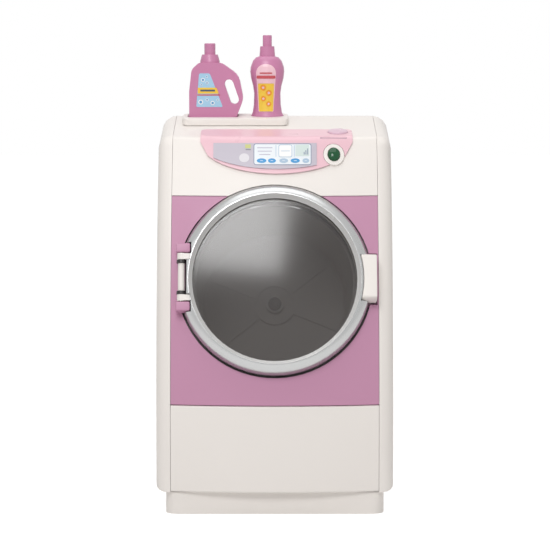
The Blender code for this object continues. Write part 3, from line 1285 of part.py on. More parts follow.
def make_drum():
    """Drum tub with its hub ring and ribs, shaft, clip, bush and the carrier plate."""
    inner_back = -DRUM_BACK + DRUM_WALL
    edge = DRUM_EDGE_RADIUS
    bore = SHAFT_RADIUS + SEAT_GAP
    boss_top = inner_back + HUB_BOSS_HEIGHT
    ring_in = HUB_RING_RADIUS - HUB_RING_WALL
    outer_edge = rounded_path([
        (DRUM_RADIUS, -DRUM_FRONT, 0), (DRUM_BACK_RADIUS, -DRUM_BACK, edge),
        (HUB_BOSS_RADIUS, -DRUM_BACK, 0),
    ], CORNER_STEPS)
    inner_edge = rounded_path([
        (HUB_RING_RADIUS, inner_back, 0),
        (DRUM_BACK_RADIUS - DRUM_WALL, inner_back, edge - DRUM_WALL),
        (DRUM_RADIUS - DRUM_WALL, -DRUM_FRONT, 0),
    ], CORNER_STEPS)
    profile = [tuple(point) for point in outer_edge]
    profile += [
        (HUB_BOSS_RADIUS, -DRUM_BACK - HUB_BOSS_BACK), (bore, -DRUM_BACK - HUB_BOSS_BACK),
        (bore, boss_top), (HUB_BOSS_RADIUS, boss_top), (HUB_BOSS_RADIUS, inner_back),
        (ring_in, inner_back), (ring_in, inner_back + HUB_RING_HEIGHT),
        (HUB_RING_RADIUS, inner_back + HUB_RING_HEIGHT),
    ]
    profile += [tuple(point) for point in inner_edge]
    drum = turned("drum_tub", profile, DRUM_STEPS, closed=True)
    bm = bmesh.new()
    for index in range(RIB_COUNT):
        start = HUB_RING_RADIUS - HUB_RING_WALL / 2
        end = DRUM_BACK_RADIUS - DRUM_WALL / 2
        made = bmesh.ops.create_cube(bm, size=1)["verts"]
        size = (end - start, RIB_WIDTH, RIB_HEIGHT + DRUM_WALL / 2)
        bmesh.ops.scale(bm, vec=size, verts=made)
        level = inner_back + RIB_HEIGHT - size[2] / 2
        bmesh.ops.translate(bm, vec=((start + end) / 2, 0, level), verts=made)
        turn = Matrix.Rotation(RIB_START + 2 * math.pi * index / RIB_COUNT, 3, "Z")
        bmesh.ops.rotate(bm, matrix=turn, verts=made)
    combine(drum, as_cutter(mesh_object("ribs", bm), "drum_ribs", DRUM_AXIS), "UNION")
    finish(drum, "drum_tub", DRUM_GREY, DRUM_AXIS)
    clip_low = boss_top + SEAT_GAP
    clip = turned("shaft_clip", [
        (CLIP_RADIUS, clip_low + CLIP_THICK), (CLIP_RADIUS, clip_low), (bore, clip_low),
        (bore, clip_low + CLIP_THICK),
    ], ROUND_STEPS, closed=True)
    finish(clip, "shaft_clip", STEEL, DRUM_AXIS)
    shaft = rod("drum_shaft", SHAFT_RADIUS, -case_end() - CASE_WALL, clip_low + SHAFT_NOSE)
    finish(shaft, "drum_shaft", STEEL, DRUM_AXIS)


def carrier_front():
    """Depth of the carrier's front face, behind the hub and the bush flange."""
    return DRUM_BACK + HUB_BOSS_BACK + SEAT_GAP + BUSH_FLANGE_THICK + SEAT_GAP


def case_front():
    """Depth of the gearbox case's front face."""
    return carrier_front() + CARRIER_WALL + SEAT_GAP


def case_end():
    """Depth of the gearbox case's open edge."""
    return case_front() + CASE_WALL + CASE_ROOM


def make_carrier():
    """Bridge plate between the side panels, with the bush that carries the drum shaft."""
    front = carrier_front()
    reach = CABINET_WIDTH / 2 - WALL - SEAT_GAP
    hole_radius = SHAFT_RADIUS + SEAT_GAP + BUSH_WALL + SEAT_GAP
    line = rounded_rectangle(-reach, reach, CARRIER_LOW, CARRIER_HIGH, CARRIER_RIB)
    lines = [line, circle(hole_radius, ROUND_STEPS)]
    carrier = plate("drum_carrier", lines, -front - CARRIER_WALL, -front)
    case_half = drum_gear_radius() + CASE_CLEAR + CASE_WALL + SEAT_GAP
    for x_low, x_high in ((-reach, -case_half), (case_half, reach)):
        for v in (CARRIER_LOW + CARRIER_RIB_INSET, CARRIER_HIGH - CARRIER_RIB_INSET):
            rib = box(
                "rib",
                (x_low + CARRIER_RIB, v - CARRIER_WALL / 2, -front - CARRIER_WALL - CARRIER_RIB),
                (x_high - CARRIER_RIB, v + CARRIER_WALL / 2, -front - CARRIER_WALL / 2),
            )
            combine(carrier, as_cutter(rib, "carrier_rib", DRUM_AXIS), "UNION")
    finish(carrier, "drum_carrier", NYLON, DRUM_AXIS)
    bore = SHAFT_RADIUS + SEAT_GAP
    outer = bore + BUSH_WALL
    flange_top = -front + SEAT_GAP + BUSH_FLANGE_THICK
    bush = turned("shaft_bush", [
        (outer + BUSH_FLANGE, flange_top), (outer + BUSH_FLANGE, -front + SEAT_GAP),
        (outer, -front + SEAT_GAP), (outer, -front - CARRIER_WALL), (bore, -front - CARRIER_WALL),
        (bore, flange_top),
    ], ROUND_STEPS, closed=True)
    finish(bush, "shaft_bush", STEEL, DRUM_AXIS)


def gear_outline(teeth, phase):
    """Involute teeth with a little backlash, with one tooth centred on the phase."""
    pitch = GEAR_MODULE * teeth / 2
    base = pitch * math.cos(PRESSURE_ANGLE)
    tip = pitch + GEAR_MODULE * ADDENDUM_SHARE
    root = pitch - GEAR_MODULE * DEDENDUM_SHARE

    def spread(radius):
        angle = math.acos(min(1, base / radius))
        return math.tan(angle) - angle

    half_pitch = math.pi / (2 * teeth) - GEAR_BACKLASH / (2 * pitch) + spread(pitch)
    flank = [(root, half_pitch - spread(max(root, base))), (tip, half_pitch - spread(tip))]
    points = []
    for index in range(teeth):
        centre = phase + 2 * math.pi * index / teeth
        for radius, half in flank:
            points.append((radius * math.cos(centre - half), radius * math.sin(centre - half)))
        for radius, half in reversed(flank):
            points.append((radius * math.cos(centre + half), radius * math.sin(centre + half)))
    return points


def drum_gear_radius():
    """Tip radius of the drum gear."""
    return GEAR_MODULE * (DRUM_TEETH / 2 + ADDENDUM_SHARE)


def idler_drop():
    """Distance from the drum axis down to the idler."""
    return GEAR_MODULE * (DRUM_TEETH + IDLER_SMALL_TEETH) / 2


def pinion_drop():
    """Distance from the drum axis down to the motor pinion."""
    return idler_drop() + GEAR_MODULE * (IDLER_LARGE_TEETH + PINION_TEETH) / 2


def make_gears():
    """Drum gear, compound idler on its pin, and the motor pinion with its shaft."""
    down = -math.pi / 2
    top = -case_front() - CASE_WALL - GEAR_STEP
    drum_gear = plate(
        "drum_gear", [gear_outline(DRUM_TEETH, down), circle(SHAFT_RADIUS + SEAT_GAP, SMALL_STEPS)],
        top - GEAR_THICK, top,
    )
    finish(drum_gear, "drum_gear", NYLON, DRUM_AXIS)
    idler_axis = make_frame("idler_axis", (0, -idler_drop(), 0))
    idler_axis.parent = DRUM_AXIS
    small_phase = -down + math.pi / IDLER_SMALL_TEETH
    large_top = top - GEAR_THICK - GEAR_STEP
    small = plate(
        "idler_gear", [gear_outline(IDLER_SMALL_TEETH, small_phase)], large_top - GEAR_STEP, top,
    )
    large = plate("large", [gear_outline(IDLER_LARGE_TEETH, down)], large_top - GEAR_THICK, large_top)
    combine(small, as_cutter(large, "idler_wheel", idler_axis), "UNION")
    through = rod(
        "through", IDLER_PIN_RADIUS + SEAT_GAP, large_top - GEAR_THICK * 2, top + GEAR_THICK, SMALL_STEPS
    )
    combine(small, as_cutter(through, "idler_bore", idler_axis), "DIFFERENCE")
    finish(small, "idler_gear", NYLON, idler_axis)
    pin = rod(
        "idler_pin", IDLER_PIN_RADIUS, -case_end() - CASE_WALL,
        -case_front() - CASE_WALL + PIN_SEAT_DEPTH - SEAT_GAP, SMALL_STEPS,
    )
    finish(pin, "idler_pin", STEEL, DRUM_AXIS, (0, -idler_drop(), 0))
    motor_axis = make_frame("motor_axis", (0, -pinion_drop(), 0))
    motor_axis.parent = DRUM_AXIS
    pinion_phase = -down + math.pi / PINION_TEETH
    pinion_low = large_top - GEAR_THICK
    pinion = plate("motor_pinion", [gear_outline(PINION_TEETH, pinion_phase)], pinion_low, large_top)
    shaft_low = motor_front() - MOTOR_BORE_DEPTH + SEAT_GAP
    shaft = rod("shaft", MOTOR_SHAFT_RADIUS, shaft_low, large_top - GEAR_THICK / 2, SMALL_STEPS)
    combine(pinion, as_cutter(shaft, "pinion_shaft", motor_axis), "UNION")
    finish(pinion, "motor_pinion", NYLON, motor_axis)


def motor_front():
    """Level of the motor's mounting face, behind the gearbox cover."""
    return -case_end() - SEAT_GAP - CASE_WALL - SEAT_GAP


def make_gearbox():
    """Case, cover and the flat motor behind it."""
    half = drum_gear_radius() + CASE_CLEAR
    low = -pinion_drop() - CASE_TAIL
    inner = rounded_rectangle(-half, half, low, half, CASE_CORNER_RADIUS)
    outer = rounded_rectangle(
        -half - CASE_WALL, half + CASE_WALL, low - CASE_WALL, half + CASE_WALL,
        CASE_CORNER_RADIUS + CASE_WALL,
    )
    front = -case_front()
    end = -case_end()
    shaft_hole = circle(SHAFT_RADIUS + RUN_GAP, SMALL_STEPS)
    case = plate("gearbox_case", [outer, shaft_hole], end, front)
    hollow = plate("case_hollow", [inner], end - CUT_OVERRUN, front - CASE_WALL)
    combine(case, as_cutter(hollow, "case_hollow", DRUM_AXIS), "DIFFERENCE")
    seat = rod(
        "seat", IDLER_PIN_RADIUS + SEAT_GAP, front - CASE_WALL - CUT_OVERRUN,
        front - CASE_WALL + PIN_SEAT_DEPTH, SMALL_STEPS, (0, -idler_drop()),
    )
    combine(case, as_cutter(seat, "pin_seat", DRUM_AXIS), "DIFFERENCE")
    finish(case, "gearbox_case", GREY_ABS, DRUM_AXIS)
    cover_top = end - SEAT_GAP
    holes = [
        circle(SHAFT_RADIUS + SEAT_GAP, SMALL_STEPS),
        circle(IDLER_PIN_RADIUS + SEAT_GAP, SMALL_STEPS, (0, -idler_drop())),
        circle(MOTOR_BOSS_RADIUS + SEAT_GAP, ROUND_STEPS, (0, -pinion_drop())),
    ]
    cover = plate("gearbox_cover", [outer] + holes, cover_top - CASE_WALL, cover_top)
    finish(cover, "gearbox_cover", GREY_ABS, DRUM_AXIS)
    face = motor_front()
    bore = MOTOR_SHAFT_RADIUS + SEAT_GAP
    profile = [
        (0, face - MOTOR_BORE_DEPTH), (bore, face - MOTOR_BORE_DEPTH), (bore, face + CASE_WALL),
        (MOTOR_BOSS_RADIUS, face + CASE_WALL), (MOTOR_BOSS_RADIUS, face),
        (MOTOR_RADIUS - MOTOR_ROUND, face), (MOTOR_RADIUS, face - MOTOR_ROUND),
        (MOTOR_RADIUS, face - MOTOR_LENGTH + MOTOR_ROUND),
        (MOTOR_RADIUS - MOTOR_ROUND, face - MOTOR_LENGTH), (0, face - MOTOR_LENGTH),
    ]
    motor = turned("motor", profile, ROUND_STEPS)
    finish(motor, "motor", STEEL, DRUM_AXIS, (0, -pinion_drop(), 0))


def make_tray():
    """Low tray on the slope, with a level seat for each bottle."""
    line = rounded_rectangle(
        TRAY_LEFT, TRAY_RIGHT, TRAY_FRONT_Y, TRAY_FRONT_Y + TRAY_DEPTH, TRAY_CORNER_RADIUS
    )
    tray = plate("bottle_tray", [line], FRONT_EDGE_HEIGHT, CREST_HEIGHT + TRAY_RISE * 2)
    bm = bmesh.new()
    bm.from_mesh(tray.data)
    foot = Vector((0, EDGE_Y, FRONT_EDGE_HEIGHT + SEAT_GAP / math.cos(TOP_SLOPE)))
    under = Vector((0, -math.sin(TOP_SLOPE), math.cos(TOP_SLOPE)))
    over = Vector((0, -math.sin(TRAY_SLOPE), math.cos(TRAY_SLOPE)))
    brim = Vector((0, TRAY_FRONT_Y, tray_front_height()))
    for point, normal, upper in ((foot, under, False), (brim, over, True)):
        cut = bmesh.ops.bisect_plane(
            bm, geom=bm.verts[:] + bm.edges[:] + bm.faces[:], plane_co=point, plane_no=normal,
            clear_outer=upper, clear_inner=not upper, dist=MERGE_DISTANCE / 2,
        )
        rim = [item for item in cut["geom_cut"] if isinstance(item, bmesh.types.BMEdge)]
        bmesh.ops.contextual_create(bm, geom=rim)
    bmesh.ops.recalc_face_normals(bm, faces=bm.faces)
    bm.to_mesh(tray.data)
    bm.free()
    add_bevel(tray, TRAY_ROUND, 2, TRAY_BEVEL_ANGLE)
    middle = tray_middle()
    jug_line = rounded_rectangle(
        JUG_X - JUG_LEFT - JUG_FOOT - RUN_GAP, JUG_X + JUG_RIGHT * JUG_BASE_SHARE + JUG_FOOT + RUN_GAP,
        middle - JUG_THICK / 2 - RUN_GAP, middle + JUG_THICK / 2 + RUN_GAP, TRAY_POCKET_RADIUS,
    )
    soft_line = circle(
        SOFTENER_FOOT_RADIUS + RUN_GAP, ROUND_STEPS, (SOFTENER_X, middle), SOFTENER_FLAT_SHARE
    )
    for name, outline in (("jug_seat", jug_line), ("softener_seat", soft_line)):
        seat = plate(name, [outline], tray_floor(), CREST_HEIGHT + TRAY_RISE * 2)
        combine(tray, as_cutter(seat, name), "DIFFERENCE")
    return finish(tray, "bottle_tray", WHITE_ABS)


def tray_front_height():
    """Height of the tray's front brim."""
    return slope_height(TRAY_FRONT_Y) + TRAY_RISE


def tray_middle():
    """Depth at which the bottles stand."""
    return TRAY_FRONT_Y + TRAY_POCKET_INSET + JUG_THICK / 2 + RUN_GAP


def tray_floor():
    """Height of the level seats."""
    return tray_front_height() + TRAY_POCKET_INSET * math.tan(TRAY_SLOPE) - TRAY_POCKET_DEPTH


def jug_outline():
    """Side of the jug: straight left flank, sloping shoulders and the bulged handle side."""
    left = -JUG_LEFT
    right = JUG_RIGHT
    top = JUG_HEIGHT
    base = JUG_FOOT_HEIGHT / 2
    corners = [
        (right * JUG_BASE_SHARE, base, 0),
        (right * JUG_BELLY_SHARES[0], top * JUG_BELLY_SHARES[1], right / 2),
        (right * JUG_BACK_SHARES[0], top * JUG_BACK_SHARES[1], right / 2),
        (JUG_NECK_RADIUS * JUG_NECK_SHARES[0], top, right / 4),
        (-JUG_NECK_RADIUS * JUG_NECK_SHARES[1], top, right / 8),
        (left * JUG_SHOULDER_SHARES[0], top * JUG_SHOULDER_SHARES[1], right / 4),
        (left, top * JUG_FLANK_SHARE, right / 4), (left, base, 0),
    ]
    return rounded_path(corners, CORNER_STEPS)


def make_jug():
    """Blow moulded jug with a slot for the fingers, a neck and a cap in one."""
    floor = tray_floor() + SEAT_GAP
    axis = make_frame("jug_axis", (JUG_X, tray_middle(), floor))
    half = JUG_THICK / 2 - JUG_FOOT
    body = plate("jug_bottle", [jug_outline()], -half, half)
    body.data.transform(Matrix.Rotation(math.pi / 2, 4, "X"))
    add_bevel(body, JUG_ROUND, 2)
    foot_line = rounded_rectangle(
        -JUG_LEFT - JUG_FOOT, JUG_RIGHT * JUG_BASE_SHARE + JUG_FOOT, -JUG_THICK / 2, JUG_THICK / 2,
        JUG_FOOT_ROUND,
    )
    foot = plate("jug_foot", [foot_line], 0, JUG_FOOT_HEIGHT)
    combine(body, as_cutter(foot, "jug_foot", axis), "UNION")
    slot = slot_outline(JUG_SLOT_LENGTH, JUG_SLOT_WIDTH)
    hole = plate("jug_slot", [slot], -JUG_THICK, JUG_THICK)
    hole.data.transform(Matrix.Rotation(JUG_SLOT_TURN, 4, "Z"))
    hole.data.transform(Matrix.Translation((JUG_SLOT_X, JUG_SLOT_Z, 0)))
    hole.data.transform(Matrix.Rotation(math.pi / 2, 4, "X"))
    combine(body, as_cutter(hole, "jug_slot", axis), "DIFFERENCE")
    cap = JUG_CAP_RADIUS
    neck = turned("neck", [
        (0, JUG_CAP_HEIGHT), (cap * CAP_TOP_SHARE, JUG_CAP_HEIGHT),
        (cap, JUG_CAP_HEIGHT - cap * CAP_EDGE_SHARE),
        (cap, JUG_NECK_HEIGHT), (JUG_NECK_TOP_RADIUS, JUG_NECK_HEIGHT),
        (JUG_NECK_RADIUS, JUG_HEIGHT + cap / 3), (JUG_NECK_RADIUS, JUG_HEIGHT - cap),
        (0, JUG_HEIGHT - cap),
    ], ROUND_STEPS)
    combine(body, as_cutter(neck, "jug_neck", axis), "UNION")
    return finish(body, "jug_bottle", BOTTLE_PLASTIC, axis)


def slot_outline(length, width):
    """Points round a slot with round ends."""
    half = (length - width) / 2
    points = []
    for side, start in ((half, -math.pi / 2), (-half, math.pi / 2)):
        for step in range(CORNER_STEPS * 2 + 1):
            angle = start + math.pi * step / (CORNER_STEPS * 2)
            points.append((side + width / 2 * math.cos(angle), width / 2 * math.sin(angle)))
    return points


def make_softener():
    """Flattened waisted bottle with a neck and a cap in one."""
    axis = make_frame("softener_axis", (SOFTENER_X, tray_middle(), tray_floor() + SEAT_GAP))
    cap = SOFTENER_CAP_RADIUS
    profile = [
        (0, SOFTENER_HEIGHT), (cap * CAP_TOP_SHARE, SOFTENER_HEIGHT),
        (cap, SOFTENER_HEIGHT - cap * CAP_EDGE_SHARE), (cap, SOFTENER_NECK_TOP),
        (SOFTENER_NECK_TOP_RADIUS, SOFTENER_NECK_TOP), (SOFTENER_NECK_RADIUS, SOFTENER_NECK_HEIGHT),
    ]
    rise = SOFTENER_NECK_HEIGHT - SOFTENER_SHOULDER_HEIGHT
    for share in SOFTENER_TOP_SHARES:
        angle = share * math.pi / 2
        grow = (SOFTENER_SHOULDER_RADIUS - SOFTENER_NECK_RADIUS) * math.sin(angle)
        height = SOFTENER_SHOULDER_HEIGHT + rise * math.cos(angle)
        profile.append((SOFTENER_NECK_RADIUS + grow, height))
    profile.append((SOFTENER_SHOULDER_RADIUS, SOFTENER_SHOULDER_HEIGHT))
    fall = SOFTENER_SHOULDER_HEIGHT - SOFTENER_WAIST_HEIGHT
    for share in SOFTENER_FLANK_SHARES:
        ease = (1 - math.cos(share * math.pi)) / 2
        draw = (SOFTENER_SHOULDER_RADIUS - SOFTENER_WAIST_RADIUS) * ease
        profile.append((SOFTENER_SHOULDER_RADIUS - draw, SOFTENER_SHOULDER_HEIGHT - fall * share))
    profile += [
        (SOFTENER_WAIST_RADIUS, SOFTENER_WAIST_HEIGHT), (SOFTENER_BASE_RADIUS, SOFTENER_BASE_HEIGHT),
        (SOFTENER_FLARE_RADIUS, SOFTENER_FLARE_HEIGHT),
        (SOFTENER_FOOT_RADIUS, SOFTENER_FOOT_HEIGHT), (SOFTENER_FOOT_RADIUS, 0), (0, 0),
    ]
    bottle = turned("softener_bottle", profile, ROUND_STEPS)
    bottle.scale = (1, SOFTENER_FLAT_SHARE, 1)
    return finish(bottle, "softener_bottle", BOTTLE_PLASTIC, axis)


def make_rear():
    """Rear panel with vents, screw holes and the openings for the batteries and the switch."""
    outer = BACK_Y - REAR_INSET
    inner = outer - PANEL_WALL
    top = CREST_HEIGHT - BACK_DROP - SEAT_GAP
    outline = rounded_rectangle(-PANEL_X, PANEL_X, CABINET_FLOOR + SEAT_GAP, top, WALL)
    panel = standing_plate("rear_panel", outline, inner, outer)
    door_half = BATTERY_BOX_HALF - BATTERY_BOX_WALL / 2
    door_low = BATTERY_BOX_LOW + BATTERY_BOX_WALL / 2
    door_high = BATTERY_BOX_LOW + BATTERY_BOX_HEIGHT - BATTERY_BOX_WALL / 2
    bay = box(
        "bay", (-door_half, inner - CUT_OVERRUN, door_low),
        (door_half, outer + CUT_OVERRUN, door_high),
    )
    combine(panel, as_cutter(bay, "battery_bay", None, (BATTERY_X, 0, 0)), "DIFFERENCE")
    slot_half = (KNOB_WIDTH + KNOB_TRAVEL) / 2 + SEAT_GAP
    slot = box(
        "slot", (-slot_half, inner - CUT_OVERRUN, -KNOB_HEIGHT / 2 - SEAT_GAP),
        (slot_half, outer + CUT_OVERRUN, KNOB_HEIGHT / 2 + SEAT_GAP),
    )
    place = (BATTERY_X, 0, SWITCH_CENTRE_Z)
    combine(panel, as_cutter(slot, "switch_slot", None, place), "DIFFERENCE")
    for index in range(VENT_COUNT):
        low = VENT_LOW + VENT_PITCH * index
        vent = box(
            "vent", (-VENT_WIDTH / 2, inner - CUT_OVERRUN, low),
            (VENT_WIDTH / 2, outer + CUT_OVERRUN, low + VENT_HEIGHT),
        )
        combine(panel, as_cutter(vent, f"vent_{index}"), "DIFFERENCE")
    boss_end = inner - SCREW_LENGTH
    boss_root = inner + PANEL_WALL / 2
    for index, (x, z) in enumerate(screw_places(top)):
        boss = rod("boss", SCREW_BOSS_RADIUS, boss_end, boss_root, SMALL_STEPS, (x, -z), "Y")
        combine(panel, as_cutter(boss, f"screw_boss_{index}"), "UNION")
        hole = rod(
            "hole", SCREW_SHANK_RADIUS + SEAT_GAP, boss_end - CUT_OVERRUN, outer + CUT_OVERRUN,
            SMALL_STEPS, (x, -z), "Y",
        )
        combine(panel, as_cutter(hole, f"screw_hole_{index}"), "DIFFERENCE")
    finish(panel, "rear_panel", WHITE_ABS)
    for index, (x, z) in enumerate(screw_places(top)):
        make_screw(f"rear_screw_{index + 1}", (x, outer, z), SCREW_LENGTH)
    make_battery_parts(inner, outer, (door_half, door_low, door_high))
    make_power_switch(inner, outer)


def screw_places(top):
    """The four corners of the rear panel, whose upper edge lies at the height given."""
    heights = (REAR_SCREW_LOW, top - REAR_SCREW_DROP)
    return [(x, z) for z in heights for x in (-REAR_SCREW_X, REAR_SCREW_X)]


def make_screw(name, place, length):
    """A pan head screw whose head rests on a face that looks towards +Y."""
    head = SEAT_GAP
    item = turned(name, [
        (0, head + SCREW_HEAD_HEIGHT), (SCREW_HEAD_RADIUS / 2, head + SCREW_HEAD_HEIGHT),
        (SCREW_HEAD_RADIUS, head + SCREW_HEAD_HEIGHT / 3), (SCREW_HEAD_RADIUS, head),
        (SCREW_SHANK_RADIUS, head), (SCREW_SHANK_RADIUS, head - length), (0, head - length),
    ], SMALL_STEPS)
    finish(item, name, STEEL, None, place)
    item.rotation_euler = (-math.pi / 2, 0, 0)
    return item


def make_battery_parts(inner, outer, door):
    """Battery box behind the rear panel, three cells, and the door with its screw."""
    front = inner - SEAT_GAP - BATTERY_BOX_DEPTH
    low = BATTERY_BOX_LOW
    high = low + BATTERY_BOX_HEIGHT
    half = BATTERY_BOX_HALF
    wall = BATTERY_BOX_WALL
    place = (BATTERY_X, 0, 0)
    holder = box("battery_box", (-half, front, low), (half, inner - SEAT_GAP, high))
    hollow = box(
        "hollow", (-half + wall, front + wall, low + wall),
        (half - wall, inner + CUT_OVERRUN, high - BATTERY_LEDGE),
    )
    combine(holder, as_cutter(hollow, "battery_hollow", None, place), "DIFFERENCE")
    screw_z = high - BATTERY_LEDGE / 2
    pilot = rod(
        "pilot", SCREW_SHANK_RADIUS + SEAT_GAP, outer - DOOR_SCREW_LENGTH - SEAT_GAP,
        outer + CUT_OVERRUN, SMALL_STEPS, (0, -screw_z), "Y",
    )
    as_cutter(pilot, "door_screw_hole", None, place)
    combine(holder, pilot, "DIFFERENCE")
    finish(holder, "battery_box", BLACK_RUBBER, None, place)
    cap = BATTERY_CAP_HEIGHT
    for index in range(BATTERY_COUNT):
        x = BATTERY_X + (index - (BATTERY_COUNT - 1) / 2) * BATTERY_PITCH
        up = index % 2 == 0
        start = low + wall + SEAT_GAP
        cell = turned("cell", [
            (0, BATTERY_LENGTH + cap), (BATTERY_CAP_RADIUS, BATTERY_LENGTH + cap),
            (BATTERY_CAP_RADIUS, BATTERY_LENGTH), (BATTERY_RADIUS, BATTERY_LENGTH),
            (BATTERY_RADIUS, 0), (0, 0),
        ], SMALL_STEPS)
        y = front + wall + SEAT_GAP + BATTERY_RADIUS
        foot = start if up else start + BATTERY_LENGTH + cap
        finish(cell, f"battery_cell_{index + 1}", CELL_GREY, None, (x, y, foot))
        cell.rotation_euler = (0 if up else math.pi, 0, 0)
    door_half, door_low, door_high = door
    gap = SEAT_GAP
    lid = box(
        "battery_door", (-door_half + gap, inner, door_low + gap),
        (door_half - gap, outer, door_high - gap), BATTERY_DOOR_ROUND, 1,
    )
    combine(lid, pilot, "DIFFERENCE")
    finish(lid, "battery_door", WHITE_ABS, None, place)
    make_screw("battery_door_screw", (BATTERY_X, outer, screw_z), DOOR_SCREW_LENGTH)


def make_power_switch(inner, outer):
    """Slide switch behind the rear panel, and its knob in the slot."""
    half_w = SWITCH_BODY_WIDTH / 2
    half_h = SWITCH_BODY_HEIGHT / 2
    face = -SEAT_GAP
    place = (BATTERY_X, inner, SWITCH_CENTRE_Z)
    body = box("power_switch", (-half_w, face - SWITCH_BODY_DEPTH, -half_h), (half_w, face, half_h))
    room = (KNOB_WIDTH + KNOB_TRAVEL) / 2 + SEAT_GAP
    well = box(
        "well", (-room, face - KNOB_ROOT - SEAT_GAP, -KNOB_HEIGHT / 2 - SEAT_GAP),
        (room, face + CUT_OVERRUN, KNOB_HEIGHT / 2 + SEAT_GAP),
    )
    combine(body, as_cutter(well, "knob_well", None, place), "DIFFERENCE")
    finish(body, "power_switch", BLACK_RUBBER, None, place)
    knob = box(
        "switch_knob", (-KNOB_WIDTH / 2, -KNOB_ROOT - SEAT_GAP, -KNOB_HEIGHT / 2),
        (KNOB_WIDTH / 2, outer - inner + KNOB_PROUD, KNOB_HEIGHT / 2), KNOB_ROUND, 1,
    )
    home = Vector(place) - Vector((KNOB_TRAVEL / 2, 0, 0))
    finish(knob, "switch_knob", BLACK_RUBBER, None, home)


def main():
    """Build the whole machine."""
    make_cabinet()
    make_console()
    make_label()
    make_lamp()
    make_button()
    make_hinge_hardware()
    make_collar()
    make_door()
    make_drum()
    make_carrier()
    make_gearbox()
    make_gears()
    make_tray()
    make_jug()
    make_softener()
    make_rear()


main()
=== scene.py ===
# %% [markdown]
# # A toy washing machine in moulded plastic
#
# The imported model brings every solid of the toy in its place: the white shells of the cabinet,
# the mauve front, the silver door ring with its smoke tinted window, the drum behind it, the pink
# console and two small bottles. This script gives them their finish. Each solid is copied, welded
# and smoothed, and the printed films of the display and of the labels are modelled new.

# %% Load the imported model
import json
import math

import bmesh
import bpy
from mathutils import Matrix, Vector


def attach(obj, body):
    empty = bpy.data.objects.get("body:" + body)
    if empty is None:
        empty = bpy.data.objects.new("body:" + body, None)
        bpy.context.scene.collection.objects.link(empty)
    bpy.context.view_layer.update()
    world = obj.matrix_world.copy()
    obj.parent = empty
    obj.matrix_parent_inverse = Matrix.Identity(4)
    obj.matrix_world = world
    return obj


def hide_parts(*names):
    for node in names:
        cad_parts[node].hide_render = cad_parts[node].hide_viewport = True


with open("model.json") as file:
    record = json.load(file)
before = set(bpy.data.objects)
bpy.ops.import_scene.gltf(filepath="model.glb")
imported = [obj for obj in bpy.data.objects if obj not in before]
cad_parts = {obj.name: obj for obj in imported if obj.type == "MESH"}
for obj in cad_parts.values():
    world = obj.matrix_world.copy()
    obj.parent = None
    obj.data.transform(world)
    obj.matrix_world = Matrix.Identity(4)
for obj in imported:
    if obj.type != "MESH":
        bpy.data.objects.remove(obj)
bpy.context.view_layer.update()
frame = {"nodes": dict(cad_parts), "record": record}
MM = 0.001
NODES = frame["nodes"]
BODY_OF = {
    node: body
    for body, nodes in frame["record"]["behaviour"]["bodies"].items()
    for node in nodes
}
SLOT_OF = {part["node"]: part["material_slot"] for part in frame["record"]["subparts"]}
print("solids loaded:", len(NODES))

# %% [markdown]
# ## The camera
#
# The photograph looks at the machine from just above its middle and from well back, with a long
# lens: the sides stay almost parallel and only a sliver of the top shows. A camera is placed by
# the point it looks at, its distance and its height angle, and its lens follows from how many
# millimetres one pixel spans at the front of the machine.

# %% Camera
IMAGE_PIXELS = 550
PIXEL_SPAN = 0.8333 * MM
CAMERA_DISTANCE = 1800 * MM
CAMERA_ELEVATION = math.radians(6.0)
TARGET = Vector((0.2 * MM, -69.6 * MM, 201.7 * MM))
SENSOR_WIDTH = 36.0
FARTHEST_SEEN = 20.0

camera_data = bpy.data.cameras.new("camera")
camera_data.sensor_width = SENSOR_WIDTH
camera_data.lens = SENSOR_WIDTH * CAMERA_DISTANCE / (IMAGE_PIXELS * PIXEL_SPAN)
camera_data.clip_end = FARTHEST_SEEN
camera = bpy.data.objects.new("camera", camera_data)
bpy.context.scene.collection.objects.link(camera)
backwards = Vector((0, -math.cos(CAMERA_ELEVATION), math.sin(CAMERA_ELEVATION)))
camera.location = TARGET + backwards * CAMERA_DISTANCE
camera.rotation_euler = (math.pi / 2 - CAMERA_ELEVATION, 0, 0)
bpy.context.scene.camera = camera
bpy.context.scene.view_settings.view_transform = "Standard"
print("lens:", round(camera_data.lens, 1), "mm")

# %% [markdown]
# ## Colours and nodes
#
# Colours are written as the hex numbers a designer would read off a colour card. Blender works
# with linear light, so one function turns them over. A second function adds any shader node with
# its settings and links in one line, which keeps each material short enough to read. A third one
# starts a plastic: nearly every finish of the toy is a Principled shader with its own numbers.

# %% Helpers for materials
def linear(colour):
    """Linear RGBA from an sRGB hex number, by the sRGB curve."""
    channels = [(colour >> shift & 255) / 255 for shift in (16, 8, 0)]
    return (*[c / 12.92 if c <= 0.04045 else ((c + 0.055) / 1.055) ** 2.4 for c in channels], 1)


def add_node(tree, kind, settings=None, links=None, values=None):
    """A node with its properties, the values of its sockets, and links into its sockets."""
    node = tree.nodes.new(kind)
    for name, value in (settings or {}).items():
        setattr(node, name, value)
    for name, value in (values or {}).items():
        node.inputs[name].default_value = value
    for name, source in (links or {}).items():
        tree.links.new(source, node.inputs[name])
    return node


def plastic(name, colour, roughness, **extra):
    """A Principled material: further sockets are given by name, with _ for a space."""
    material = bpy.data.materials.new(name)
    material.use_nodes = True
    shader = material.node_tree.nodes["Principled BSDF"]
    shader.inputs["Base Color"].default_value = linear(colour)
    shader.inputs["Roughness"].default_value = roughness
    for socket, value in extra.items():
        shader.inputs[socket.replace("_", " ")].default_value = value
    material.diffuse_color = linear(colour)
    return material


print("sRGB mid grey in linear light:", round(linear(0x808080)[0], 3))

